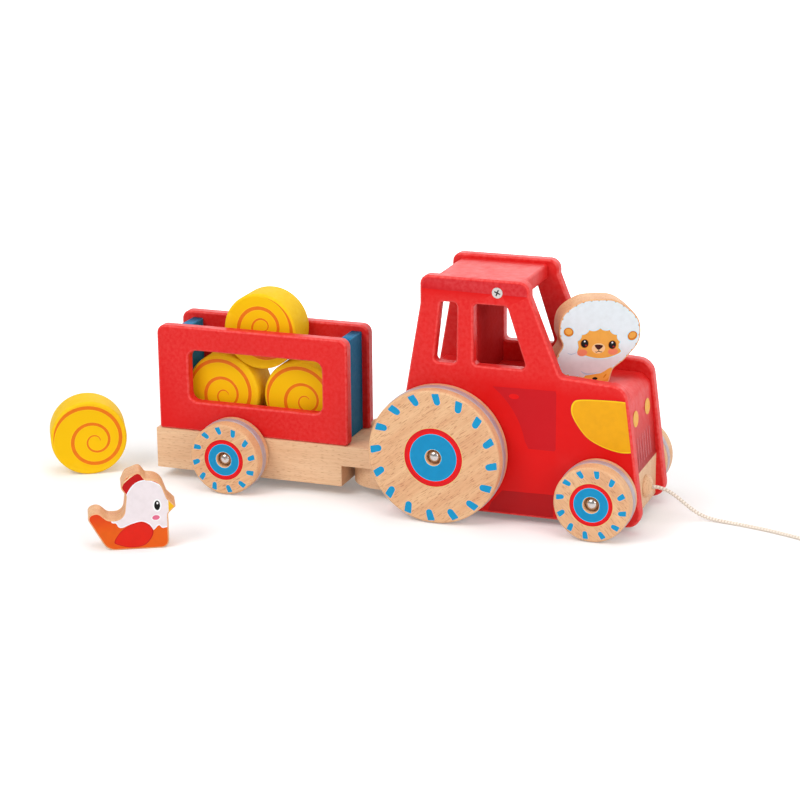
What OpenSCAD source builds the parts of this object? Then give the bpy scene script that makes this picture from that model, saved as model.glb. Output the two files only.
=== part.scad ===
// Wooden pull-along tractor with a hitched trailer, round bales, a sheep and a hen.
// Millimetres. +X is forwards, +Y is the tractor's left, +Z is up, and the floor is z = 0.

/* [Boards] */
// Thickness of the beech board used for the chassis and the trailer deck
board_t = 28; // [22:0.5:34]
// Height of the boards' underside above the floor
board_z = 7.5; // [6:0.5:12]
// Thickness of every painted side panel
panel_t = 8.6; // [6:0.2:12]

/* [Tractor] */
// Width of the chassis board and of the body block, between the side panels
body_w = 56.8; // [48:0.2:70]
// Height of the panels' top edge above the floor
panel_top = 160.2; // [150:0.2:180]
// Height of the panels' bottom edge above the floor
panel_bottom = 4.6; // [3:0.2:6]
// Height of the body block, above the chassis board
block_h = 54.2; // [48:0.2:56]
// Thickness of the roof board
roof_t = 10.4; // [7:0.2:14]
// How far the roof board's top lies below the panels' top edge
roof_drop = 3; // [1:0.5:8]
// Thickness of the upright board between the cab's windows
bulkhead_t = 8.6; // [6:0.2:10]
// Distance between the two axles
wheelbase = 105.6; // [95:0.2:110]

/* [Wheels] */
// Radius of the tractor's rear wheels
rear_r = 45; // [38:0.5:48]
// Thickness of the tractor's rear wheels
rear_t = 18.4; // [15:0.2:24]
// Radius of the tractor's front wheels
front_r = 25.2; // [20:0.2:28]
// Thickness of the tractor's front wheels
front_t = 20.6; // [15:0.2:24]
// Radius of the trailer's wheels
trail_r = 24.8; // [20:0.2:28]
// Thickness of the trailer's wheels
trail_t = 20.2; // [15:0.2:24]
// Radius of the steel axles
axle_r = 2.5; // [2:0.1:3.5]
// Radial clearance of a wheel on its axle
axle_clear = 0.08; // [0.04:0.01:0.1]
// Gap between a wheel and the board or panel beside it
wheel_gap = 1; // [0.6:0.1:2]
// Width of the rubber ring in each rim
ring_w = 6; // [4:0.5:8]

/* [Trailer] */
// How far the deck stands out beyond each side panel
deck_lip = 1; // [0:0.1:4]
// How far the deck runs on behind the rear end board
deck_over = 10.3; // [8.2:0.1:20]
// Distance of the trailer's axle behind the deck's middle
axle_back = 8.5; // [0:0.1:20]
// Height of the trailer's side panels
box_h = 72.8; // [60:0.2:90]
// Thickness of the two blue end boards
end_t = 8; // [5:0.5:12]
// Play left lengthwise by the two lower bales between the end boards
bale_play = 5; // [2:0.5:12]
// Gap between a bale in the trailer and each side panel
bale_side_gap = 3.7; // [0.5:0.1:8]
// Furthest that the trailer turns to each side, in degrees
yaw_max = 30; // [10:1:35]
// Gap left between the chassis tongue and the deck's step when the trailer is fully turned
turn_gap = 0.33; // [0.2:0.01:2]
// Radius of the wooden hitch peg
peg_r = 5; // [3.5:0.1:6]
// Radial clearance of the trailer on the peg
peg_clear = 0.1; // [0.05:0.01:0.1]
// Height of the peg above the trailer's deck
peg_up = 13; // [8:0.5:20]

/* [Loose pieces] */
// Radius of a bale
bale_r = 26; // [20:0.5:26]
// Length of a bale
bale_t = 25; // [18:0.5:30]
// Thickness of the sheep and of the hen
animal_t = 18; // [12:0.5:20]
// Size of the sheep and of the hen, as a scale of their outlines
animal_size = 1; // [0.8:0.01:1.1]

/* [Cord] */
// Diameter of the cotton pull cord
cord_d = 2.4; // [2:0.1:3]
// Radius of the wooden ball at the cord's end
ball_r = 8; // [7:0.5:10]

/* [Hidden] */
$fn = 72;

// Colours
beech = [0.87, 0.72, 0.53];
red = [0.86, 0.13, 0.11];
blue = [0.1, 0.5, 0.7];
straw = [0.95, 0.74, 0.1];
steel = [0.75, 0.75, 0.77];
rubber = [0.72, 0.66, 0.72];
cotton = [0.93, 0.88, 0.8];

// Where the tractor's rear axle stands in the frame
tractor_at = [80, 58];
// Steps in a rounded corner
corner_steps = 7;
// Small air gap between painted pieces that are only laid together
lay = 0.3;

// Heights that the boards give
board_top = board_z + board_t;
lap_z = board_z + board_t / 2;
block_top = board_top + block_h;
roof_top = panel_top - roof_drop;
half_w = body_w / 2;

// Side panel: its slanted edges, each as an x on a line through a height
function rear_edge(z) = -23 + 0.166 * (z - 100);
function pillar_edge(z) = 78.1 - 0.402 * (z - 100);
function nose_edge(z) = nose_x + 1.5 - 0.13 * (z - 50);
cab_kink = panel_top - 19.2;
cab_rear = rear_edge(cab_kink) + 0.8;
cab_front = 57.8;
cab_front_z = panel_top - 9.9;
hood_z = block_top + 10.5;
hood_nose_z = block_top + 7.7;

// Windows: sill and head heights
sill_z = hood_z + 3;
head_z = panel_top - 16.8;
window_r = 3;
rear_window = [[-6.2, sill_z], [9, sill_z], [9.7, head_z], [-1.6, head_z]];
front_window = [[20.5, sill_z], [56, sill_z], [42.8, head_z], [20.5, head_z]];

// Cab boards
bulkhead_x = 20.5 - bulkhead_t;
roof_x = [-9.4, 50.4];
screw_x = 36.5;
roof_mid_z = roof_top - roof_t / 2;
screw_r = 1.6;
screw_head_h = 2;
screw_head_r = 3.6;
screw_len = 24;

// Glued dowels between the side panels and what they stand against
dowel_r = 3;
dowel_deep = 5;
dowel_long = 14;
block_dowels = [[-8, board_top + 26], [36, board_top + 26], [88, board_top + 26]];
board_dowel = [60, lap_z];
trailer_dowel_r = 2.5;

// Trailer box: the bales set the free space, and the deck goes round it
cargo_len = 4 * bale_r + bale_play;
inner_w = bale_t + 2 * bale_side_gap;
box_w = inner_w + 2 * panel_t;
deck_w = box_w + 2 * deck_lip;
front_board_back = 0.1;
deck_len = front_board_back + 2 * end_t + cargo_len + deck_over;

// Chassis board, nose and hitch
nose_x = wheelbase + 20.4;
block_rear_x = -20;
hitch_x = -58;
tongue_r = half_w - 4.4;
tongue_ahead = 8;
tongue_x = hitch_x + tongue_ahead;
lap_gap = 0.4;
lap_r = deck_w / 2;
lap_centre_x = hitch_x + 4;
shoulder_gap = 3;
shoulder_x = lap_centre_x + lap_r + shoulder_gap;
step_gap = tongue_ahead * (1 - cos(yaw_max)) + turn_gap;
deck_front_x = tongue_x - tongue_r - step_gap;
deck_rear_x = deck_front_x - deck_len;

// Axles
front_x = wheelbase;
trail_x = (deck_front_x + deck_rear_x) / 2 - axle_back;
hub_depth = 5;
cap_r = axle_r + 1.7;
hub_r = cap_r + 1;
cap_gap = 0.3;
cap_h = 4.2;
axle_in_cap = 2.4;
ring_depth = 2;
ring_proud = 0.4;
ring_back = 5;
rim_round = 2.4;

tractor_inner = half_w + panel_t + wheel_gap;
trailer_inner = deck_w / 2 + wheel_gap;
rear_face = tractor_inner + rear_t;
front_face = tractor_inner + front_t;
trail_face = trailer_inner + trail_t;

// Trailer panels, their windows and the end boards
box_top = board_top + box_h;
end_h = box_h - 4.3;
cargo_mid_x = deck_front_x - front_board_back - end_t - cargo_len / 2;
box_front_x = deck_front_x + 4.4;
box_rear_x = deck_rear_x + 2.2;
box_corner = 6;
window_low = board_top + 20.5;
window_high = box_top - 16.3;
window_x = [box_rear_x + 22.6, box_front_x - 18];
trailer_dowel_x = [box_rear_x + 22, box_front_x - 22];

// Bales in the trailer: two on the deck against the end boards, one on top of them
bale_x = cargo_len / 2 - bale_r - lay;
bale_z = board_top + bale_r + lay;
stack_r = 2 * bale_r + lay;
top_bale_z = bale_z + sqrt(stack_r * stack_r - bale_x * bale_x);

// Places of the loose pieces in the frame: [x, y] and the way they face
loose_bale_at = tractor_at + [deck_rear_x - 52.8, -25.8];
loose_bale_turn = 30;
sheep_at = tractor_at + [nose_x - 35.6, 1];
sheep_turn = 27;
hen_at = tractor_at + [trail_x - 16.7, -154.4];
hen_turn = 28;

// Cord: the button's spigot, and the route along the floor
button_r = 7.5;
button_proud = 5;
spigot_r = 4;
spigot_len = 10;
knot_r = 3;
knot_pocket = spigot_len + 2 * knot_r + 1;
knot_out = 0.2;
cord_r = cord_d / 2;
cord_hole = 0.1;
cord_z = lap_z;
coil_at = [331, 54];
coil_turns = 3;
coil_in_r = 3 * cord_d;
coil_out_r = coil_in_r + (coil_turns + 1) * cord_d;
coil_h = 2 * cord_d;
ball_at = [346, 82];
cord_sides = 8;
route = [[211.2, 58, 21.5], [213, 58, 21.4], [216, 58.1, 21.1], [221, 58.6, 19.4], [226, 59.4, 16.2],
    [231, 60.4, 12.1], [236, 61.4, 8], [241, 62.2, 4.7], [247, 62.8, 2.4], [254, 62.6, 1.4],
    [262, 61.4, 1.2], [270, 59.8, 1.2], [278, 57.8, 1.2], [286, 55.6, 1.2], [294, 53, 1.2],
    [302, 50, 1.2], [309, 47.2, 1.2], [315, 44.6, 1.2]];
tail = [[346.6, 56, 3.6], [346.9, 60, 3], [347, 64, 2], [346.9, 68, 2.2], [346.5, 72, 4.2], [346.2, 76, 6]];

// ---- Helpers ----------------------------------------------------------------------------------

// One corner [x, y, r] of an outline as an arc that is tangent to both its sides
function unit(v) = v / norm(v);
function arc_corner(a, b, c) =
    let (u = unit([a[0] - b[0], a[1] - b[1]]), v = unit([c[0] - b[0], c[1] - b[1]]))
    let (half = acos(u * v) / 2, reach = b[2] / tan(half), m = unit(u + v))
    let (o = [b[0], b[1]] + m * b[2] / sin(half))
    let (s = [b[0], b[1]] + u * reach - o, e = [b[0], b[1]] + v * reach - o)
    let (a0 = atan2(s[1], s[0]), turn = atan2(s[0] * e[1] - s[1] * e[0], s * e))
    [for (i = [0 : corner_steps]) o + b[2] * [cos(a0 + turn * i / corner_steps), sin(a0 + turn * i / corner_steps)]];
function rounded(p) = [for (i = [0 : len(p) - 1])
    each (p[i][2] == 0 ? [[p[i][0], p[i][1]]]
        : arc_corner(p[(i + len(p) - 1) % len(p)], p[i], p[(i + 1) % len(p)]))];
function with_radius(p, r) = [for (q = p) [q[0], q[1], r]];

// An outline drawn in X and Z, made into a board from y0 to y1
module board(y0, y1) {
    translate([0, y1, 0]) rotate([90, 0, 0]) linear_extrude(y1 - y0) children();
}

// The tractor's own place in the frame
module at_tractor() {
    translate([tractor_at[0], tractor_at[1], 0]) children();
}

// A solid of revolution about Y, with its start at y and its height along side * Y
module about_y(x, y, z, side) {
    translate([x, y, z]) rotate([side * -90, 0, 0]) children();
}

// A tube with flat ends swept along points
function way(p, i) = unit(p[min(i + 1, len(p) - 1)] - p[max(i - 1, 0)]);
function ring_at(p, i, r) =
    let (d = way(p, i), s = unit(cross(d, [0, 0, 1])), u = cross(s, d))
    [for (k = [0 : cord_sides - 1]) p[i] + r * (cos(360 * k / cord_sides) * s + sin(360 * k / cord_sides) * u)];
module tube(p, r) {
    n = cord_sides;
    last = (len(p) - 1) * n;
    polyhedron(
        points = [for (i = [0 : len(p) - 1]) each ring_at(p, i, r)],
        faces = concat(
            [[for (k = [0 : n - 1]) k]],
            [for (i = [0 : len(p) - 2]) for (k = [0 : n - 1])
                [i * n + k, (i + 1) * n + k, (i + 1) * n + (k + 1) % n, i * n + (k + 1) % n]],
            [[for (k = [0 : n - 1]) last + n - 1 - k]]));
}

// ---- Wheels -----------------------------------------------------------------------------------

// Wooden wheel: height 0 is its inner face, with a groove in the rim and a sunk hub outside
module wheel(r, t) {
    wood_r = r - ring_proud;
    color(beech) rotate_extrude($fn = 96) polygon(concat(
        [[axle_r + axle_clear, 0]],
        [for (a = [-90 : 30 : 0]) [wood_r - 1, 1] + [cos(a), sin(a)]],
        [[wood_r, ring_back], [wood_r - ring_depth, ring_back]],
        [[wood_r - ring_depth, ring_back + ring_w], [wood_r, ring_back + ring_w]],
        [for (a = [0 : 15 : 90]) [wood_r - rim_round, t - rim_round] + rim_round * [cos(a), sin(a)]],
        [[hub_r, t], [hub_r, t - hub_depth], [axle_r + axle_clear, t - hub_depth]]));
}

// Rubber ring that lies in the rim's groove
module rim_ring(r) {
    inner = r - ring_proud - ring_depth;
    color(rubber) rotate_extrude($fn = 96) polygon([
        [inner, ring_back], [r - 0.6, ring_back], [r, ring_back + 0.8],
        [r, ring_back + ring_w - 0.8], [r - 0.6, ring_back + ring_w], [inner, ring_back + ring_w]]);
}

// Steel rod between two caps
module axle(x, z, wheel_face) {
    reach = cap_base(wheel_face) + axle_in_cap;
    color(steel) about_y(x, -reach, z, 1) cylinder(r = axle_r, h = 2 * reach);
}

// Where a cap's flat back lies, measured from the middle plane
function cap_base(wheel_face) = wheel_face - hub_depth + cap_gap;

// Domed caps pressed onto both ends of an axle
module caps(x, z, wheel_face) {
    for (side = [-1, 1])
        color(steel) about_y(x, side * cap_base(wheel_face), z, side) rotate_extrude() polygon(concat(
            [[axle_r, 0], [cap_r, 0], [cap_r, 1]],
            [for (a = [15 : 15 : 75]) [cap_r * cos(a), 1 + (cap_h - 1) * sin(a)]],
            [[0, cap_h], [0, axle_in_cap], [axle_r, axle_in_cap]]));
}

// ---- Tractor ----------------------------------------------------------------------------------

module side_outline() {
    polygon(rounded([
        [rear_edge(panel_bottom), panel_bottom, 8],
        [nose_edge(panel_bottom), panel_bottom, 9],
        [nose_edge(hood_nose_z), hood_nose_z, 11],
        [pillar_edge(hood_z), hood_z, 4],
        [cab_front, cab_front_z, 3],
        [cab_front, panel_top, 7],
        [cab_rear, panel_top, 6],
        [cab_rear, cab_kink, 6]]));
}

module side_panel(side) {
    y_in = side * half_w;
    y_out = side * (half_w + panel_t);
    color(red) at_tractor() difference() {
        board(min(y_in, y_out), max(y_in, y_out)) difference() {
            side_outline();
            polygon(rounded(with_radius(rear_window, window_r)));
            polygon(rounded(with_radius(front_window, window_r)));
        }
        about_y(0, y_in - side, rear_r, side) cylinder(r = axle_r, h = panel_t + 2);
        about_y(front_x, y_in - side, front_r, side) cylinder(r = axle_r, h = panel_t + 2);
        about_y(screw_x, y_in - side, roof_mid_z, side) cylinder(r = screw_r, h = panel_t + 2);
        about_y(screw_x, y_out, roof_mid_z, -side)
            cylinder(r1 = screw_head_r, r2 = screw_r, h = screw_head_h);
        for (p = concat(block_dowels, [board_dowel]))
            about_y(p[0], y_in, p[1], side) translate([0, 0, -1]) cylinder(r = dowel_r, h = dowel_deep + 1);
    }
}

module side_panel_right() { side_panel(-1); }
module side_panel_left() { side_panel(1); }

module panel_dowels() {
    color(beech) at_tractor()
        for (side = [-1, 1]) for (p = concat(block_dowels, [board_dowel]))
            about_y(p[0], side * (half_w + dowel_deep - dowel_long), p[1], side)
                cylinder(r = dowel_r, h = dowel_long, $fn = 24);
}

// Blind holes for the dowels, as seen from the middle board or block
module dowel_holes(spots) {
    for (side = [-1, 1]) for (p = spots)
        about_y(p[0], side * (half_w + dowel_deep - dowel_long), p[1], side)
            cylinder(r = dowel_r, h = dowel_long + 1, $fn = 24);
}

module chassis_board() {
    color(beech) at_tractor() difference() {
        union() {
            translate([shoulder_x, -half_w, board_z]) cube([nose_x - shoulder_x, body_w, board_t]);
            translate([tongue_x, -tongue_r, board_z])
                cube([shoulder_x - tongue_x + 1, 2 * tongue_r, board_t / 2]);
            translate([tongue_x, 0, board_z]) cylinder(r = tongue_r, h = board_t / 2);
        }
        translate([hitch_x, 0, board_z - 1]) cylinder(r = peg_r, h = board_t);
        about_y(front_x, -half_w - 1, front_r, 1) cylinder(r = axle_r, h = body_w + 2);
        about_y(0, -half_w - 1, rear_r, 1) cylinder(r = axle_r, h = body_w + 2);
        translate([nose_x - knot_pocket, 0, cord_z]) rotate([0, 90, 0]) cylinder(r = spigot_r, h = knot_pocket + 1);
        dowel_holes([board_dowel]);
    }
}

module body_block() {
    color(red) at_tractor() difference() {
        board(-half_w, half_w) polygon(rounded([
            [block_rear_x, board_top, 0],
            [nose_x, board_top, 0],
            [nose_x - 0.105 * block_h, block_top, 10],
            [block_rear_x, block_top, 1]]));
        about_y(0, -half_w - 1, rear_r, 1) cylinder(r = axle_r, h = body_w + 2);
        dowel_holes(block_dowels);
    }
}

module roof_board() {
    color(red) at_tractor() difference() {
        board(-half_w, half_w) polygon(rounded([
            [roof_x[0], roof_top - roof_t, 2],
            [roof_x[1], roof_top - roof_t, 2],
            [roof_x[1], roof_top, 2],
            [roof_x[0], roof_top, 2]]));
        for (side = [-1, 1])
            about_y(screw_x, side * (half_w + panel_t - screw_len), roof_mid_z, side)
                cylinder(r = screw_r, h = screw_len);
    }
}

module cab_bulkhead() {
    color(red) at_tractor() translate([bulkhead_x, -half_w, block_top])
        cube([bulkhead_t, body_w, roof_top - roof_t - block_top]);
}

// Countersunk cross-head screws, one through each panel into the roof board
module roof_screws() {
    color(steel) at_tractor() for (side = [-1, 1])
        about_y(screw_x, side * (half_w + panel_t), roof_mid_z, -side) difference() {
            union() {
                cylinder(r1 = screw_head_r, r2 = screw_r, h = screw_head_h, $fn = 48);
                cylinder(r = screw_r, h = screw_len, $fn = 48);
            }
            for (turn = [0, 90])
                rotate(turn) translate([-2, -0.45, -1]) cube([4, 0.9, 2.2]);
        }
}

module hitch_peg() {
    color(beech) at_tractor() translate([hitch_x, 0, board_z]) rotate_extrude() polygon(concat(
        [[0, 0], [peg_r, 0]],
        [for (a = [0 : 15 : 75]) [peg_r - 2 + 2 * cos(a), board_t + peg_up - 2 + 2 * sin(a)]],
        [[peg_r - 2, board_t + peg_up], [0, board_t + peg_up]]));
}

// Turned wooden button that closes the cord's hole in the nose
module cord_button() {
    color(beech) at_tractor() translate([nose_x, 0, cord_z]) rotate([0, 90, 0]) rotate_extrude() polygon(concat(
        [[cord_r + cord_hole, -spigot_len], [spigot_r, -spigot_len], [spigot_r, 0], [button_r, 0]],
        [for (a = [15 : 15 : 60]) [button_r * cos(a), button_proud * sin(a)]],
        [[2, button_proud], [cord_r + cord_hole, button_proud]]));
}

// Knot behind the button, and the cord's own length inside the button
module cord_knot() {
    neck = sqrt(knot_r * knot_r - cord_r * cord_r) - knot_r;
    out = spigot_len + button_proud + knot_out;
    color(cotton) at_tractor() translate([nose_x - spigot_len, 0, cord_z]) rotate([0, 90, 0])
        rotate_extrude($fn = 48) polygon(concat(
            [[0, -2 * knot_r]],
            [for (a = [-75 : 15 : 60]) [knot_r * cos(a), knot_r * sin(a) - knot_r]],
            [[cord_r, neck], [cord_r, out], [0, out]]));
}

module rear_axle() { at_tractor() axle(0, rear_r, rear_face); }
module front_axle() { at_tractor() axle(front_x, front_r, front_face); }
module rear_axle_caps() { at_tractor() caps(0, rear_r, rear_face); }
module front_axle_caps() { at_tractor() caps(front_x, front_r, front_face); }

// Puts a wheel or its ring outside a panel
module on_axle(x, z, inner_y, side) {
    at_tractor() about_y(x, side * inner_y, z, side) children();
}

module rear_wheel_right() { on_axle(0, rear_r, tractor_inner, -1) wheel(rear_r, rear_t); }
module rear_ring_right() { on_axle(0, rear_r, tractor_inner, -1) rim_ring(rear_r); }
module rear_wheel_left() { on_axle(0, rear_r, tractor_inner, 1) wheel(rear_r, rear_t); }
module rear_ring_left() { on_axle(0, rear_r, tractor_inner, 1) rim_ring(rear_r); }
module front_wheel_right() { on_axle(front_x, front_r, tractor_inner, -1) wheel(front_r, front_t); }
module front_ring_right() { on_axle(front_x, front_r, tractor_inner, -1) rim_ring(front_r); }
module front_wheel_left() { on_axle(front_x, front_r, tractor_inner, 1) wheel(front_r, front_t); }
module front_ring_left() { on_axle(front_x, front_r, tractor_inner, 1) rim_ring(front_r); }

// ---- Trailer ----------------------------------------------------------------------------------

module trailer_deck() {
    color(beech) at_tractor() difference() {
        union() {
            translate([deck_rear_x, -deck_w / 2, board_z]) cube([deck_len, deck_w, board_t]);
            translate([deck_front_x - 1, -deck_w / 2, lap_z + lap_gap])
                cube([lap_centre_x - deck_front_x + 1, deck_w, board_t / 2 - lap_gap]);
            translate([lap_centre_x, 0, lap_z + lap_gap]) cylinder(r = lap_r, h = board_t / 2 - lap_gap);
        }
        translate([hitch_x, 0, lap_z - 1]) cylinder(r = peg_r + peg_clear, h = board_t);
        about_y(trail_x, -deck_w / 2 - 1, trail_r, 1) cylinder(r = axle_r, h = deck_w + 2);
        for (x = trailer_dowel_x) for (side = [-1, 1])
            translate([x, side * (box_w - panel_t) / 2, board_top - dowel_deep])
                cylinder(r = trailer_dowel_r, h = dowel_deep + 1, $fn = 24);
    }
}

module trailer_panel(side) {
    y_in = side * inner_w / 2;
    y_out = side * box_w / 2;
    color(red) at_tractor() difference() {
        board(min(y_in, y_out), max(y_in, y_out)) difference() {
            polygon(rounded([
                [box_rear_x, board_top, 1.5],
                [box_front_x, board_top, 2.5],
                [box_front_x, box_top, box_corner],
                [box_rear_x, box_top, box_corner]]));
            polygon(rounded(with_radius([
                [window_x[0], window_low], [window_x[1], window_low],
                [window_x[1], window_high], [window_x[0], window_high]], box_corner)));
        }
        for (x = trailer_dowel_x)
            translate([x, side * (box_w - panel_t) / 2, board_top - 1])
                cylinder(r = trailer_dowel_r, h = dowel_deep + 1, $fn = 24);
    }
}
module trailer_panel_right() { trailer_panel(-1); }
module trailer_panel_left() { trailer_panel(1); }

module trailer_dowels() {
    color(beech) at_tractor() for (x = trailer_dowel_x) for (side = [-1, 1])
        translate([x, side * (box_w - panel_t) / 2, board_top - dowel_deep])
            cylinder(r = trailer_dowel_r, h = 2 * dowel_deep, $fn = 24);
}

module end_board(x) {
    color(blue) at_tractor() translate([x, -inner_w / 2, board_top]) cube([end_t, inner_w, end_h]);
}
module trailer_front_board() { end_board(cargo_mid_x + cargo_len / 2); }
module trailer_rear_board() { end_board(cargo_mid_x - cargo_len / 2 - end_t); }

module trailer_axle() { at_tractor() axle(trail_x, trail_r, trail_face); }
module trailer_axle_caps() { at_tractor() caps(trail_x, trail_r, trail_face); }
module trailer_wheel_right() { on_axle(trail_x, trail_r, trailer_inner, -1) wheel(trail_r, trail_t); }
module trailer_ring_right() { on_axle(trail_x, trail_r, trailer_inner, -1) rim_ring(trail_r); }
module trailer_wheel_left() { on_axle(trail_x, trail_r, trailer_inner, 1) wheel(trail_r, trail_t); }
module trailer_ring_left() { on_axle(trail_x, trail_r, trailer_inner, 1) rim_ring(trail_r); }

// ---- Bales and animals ------------------------------------------------------------------------

// Bale about the Y axis, with small rounded rims
module bale() {
    rim = 1.2;
    color(straw) rotate([90, 0, 0]) translate([0, 0, -bale_t / 2]) rotate_extrude($fn = 96) polygon(concat(
        [[0, 0]],
        [for (a = [-90 : 30 : 0]) [bale_r - rim, rim] + rim * [cos(a), sin(a)]],
        [for (a = [0 : 30 : 90]) [bale_r - rim, bale_t - rim] + rim * [cos(a), sin(a)]],
        [[0, bale_t]]));
}

module bale_rear() { at_tractor() translate([cargo_mid_x - bale_x, 0, bale_z]) bale(); }
module bale_front() { at_tractor() translate([cargo_mid_x + bale_x, 0, bale_z]) bale(); }
module bale_top() { at_tractor() translate([cargo_mid_x, 0, top_bale_z]) bale(); }
module bale_loose() {
    translate([loose_bale_at[0], loose_bale_at[1], bale_r]) rotate(loose_bale_turn) bale();
}

// A figure cut from board: its outline faces -Y before it is turned
module figure(at, z, turn) {
    translate([at[0], at[1], z]) rotate(turn) scale(animal_size)
        board(-animal_t / 2, animal_t / 2) children();
}

// The sheep's feet stand on the body block
module sheep() {
    color(beech) figure(sheep_at, block_top + lay, sheep_turn) polygon(rounded([
        [-8, 0, 2], [8, 0, 2], [10, 9, 2.5], [17, 14, 6], [28, 26, 9], [28, 42, 13], [12, 55.4, 16],
        [-10, 55.4, 16], [-25, 46, 12], [-25.4, 31, 4], [-21.6, 25.5, 2.5], [-27.6, 19, 4],
        [-25, 5.4, 6], [-8, 3.5, 2]]));
}

module hen() {
    color(beech) figure(hen_at, 0, hen_turn) polygon(rounded([
        [-15, 0, 9], [23.8, 0, 5], [23.8, 22.6, 2], [28.9, 27.4, 1], [23.6, 33, 3], [19.4, 45.2, 9],
        [10.2, 46.2, 2], [6.8, 51.4, 3], [-2.4, 48, 5], [-5.6, 41, 3], [-2.4, 36.2, 4], [-4.4, 20.4, 6],
        [-14, 20.4, 5], [-20, 26, 5], [-28, 23.6, 3.5]]));
}

// ---- Pull cord --------------------------------------------------------------------------------

module pull_cord() {
    color(cotton) {
        tube(route, cord_r);
        tube(tail, cord_r);
    }
}

// Outer shape of the spare cord wound in a flat coil of two layers
module cord_coil() {
    color(cotton) translate([coil_at[0], coil_at[1], 0]) rotate_extrude($fn = 64) polygon([
        [coil_in_r, 0], [coil_out_r, 0], [coil_out_r, coil_h], [coil_in_r, coil_h]]);
}

// Wooden ball at the cord's end
module pull_ball() {
    color(beech) translate([ball_at[0], ball_at[1], ball_r]) sphere(r = ball_r, $fn = 48);
}

chassis_board();
body_block();
side_panel_right();
side_panel_left();
roof_board();
cab_bulkhead();
roof_screws();
panel_dowels();
hitch_peg();
cord_button();
cord_knot();
rear_axle();
front_axle();
rear_axle_caps();
front_axle_caps();
rear_wheel_right();
rear_ring_right();
rear_wheel_left();
rear_ring_left();
front_wheel_right();
front_ring_right();
front_wheel_left();
front_ring_left();
trailer_deck();
trailer_panel_right();
trailer_panel_left();
trailer_front_board();
trailer_rear_board();
trailer_dowels();
trailer_axle();
trailer_axle_caps();
trailer_wheel_right();
trailer_ring_right();
trailer_wheel_left();
trailer_ring_left();
bale_rear();
bale_front();
bale_top();
bale_loose();
sheep();
hen();
pull_cord();
cord_coil();
pull_ball();
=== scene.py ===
import math

import bpy
from mathutils import Matrix, Vector
from mathutils.geometry import delaunay_2d_cdt


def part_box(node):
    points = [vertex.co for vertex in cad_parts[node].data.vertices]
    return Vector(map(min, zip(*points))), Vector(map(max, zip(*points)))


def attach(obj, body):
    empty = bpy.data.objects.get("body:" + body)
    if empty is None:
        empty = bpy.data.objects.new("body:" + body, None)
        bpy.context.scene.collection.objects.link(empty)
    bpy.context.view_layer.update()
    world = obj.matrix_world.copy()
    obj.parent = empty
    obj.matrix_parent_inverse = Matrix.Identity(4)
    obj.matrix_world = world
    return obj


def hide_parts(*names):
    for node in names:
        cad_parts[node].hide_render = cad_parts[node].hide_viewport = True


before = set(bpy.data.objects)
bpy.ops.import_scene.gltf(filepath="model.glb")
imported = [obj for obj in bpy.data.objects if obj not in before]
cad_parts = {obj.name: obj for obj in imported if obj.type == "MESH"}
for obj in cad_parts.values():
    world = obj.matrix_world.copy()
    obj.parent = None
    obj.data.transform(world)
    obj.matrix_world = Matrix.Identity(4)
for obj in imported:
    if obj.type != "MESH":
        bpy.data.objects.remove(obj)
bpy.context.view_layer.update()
scene = bpy.context.scene
MM = 0.001


# ---- Camera ------------------------------------------------------------------------------------

def make_camera():
    azimuth, elevation, roll = (math.radians(a) for a in (20.04, 16.689, -0.472))
    back = Vector((math.sin(azimuth) * math.cos(elevation), -math.cos(azimuth) * math.cos(elevation),
                   math.sin(elevation)))
    side = Vector((math.cos(azimuth), math.sin(azimuth), 0))
    up = back.cross(side)
    right = side * math.cos(roll) + up * math.sin(roll)
    over = up * math.cos(roll) - side * math.sin(roll)
    data = bpy.data.cameras.new("camera")
    data.sensor_width = 36
    data.lens = 104.563
    data.clip_start, data.clip_end = 0.05, 30
    cam = bpy.data.objects.new("camera", data)
    scene.collection.objects.link(cam)
    m = Matrix((right, over, back)).transposed().to_4x4()
    m.translation = Vector((0.546018, -1.336908, 0.508722))
    cam.matrix_world = m
    scene.camera = cam


make_camera()


# ---- Colours and node helpers ------------------------------------------------------------------

def lin(r, g, b):
    """A colour as it shows, 0 to 255, in scene-linear light."""
    def one(v):
        v /= 255
        return v / 12.92 if v <= 0.04045 else ((v + 0.055) / 1.055) ** 2.4
    return (one(r), one(g), one(b), 1)


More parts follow.
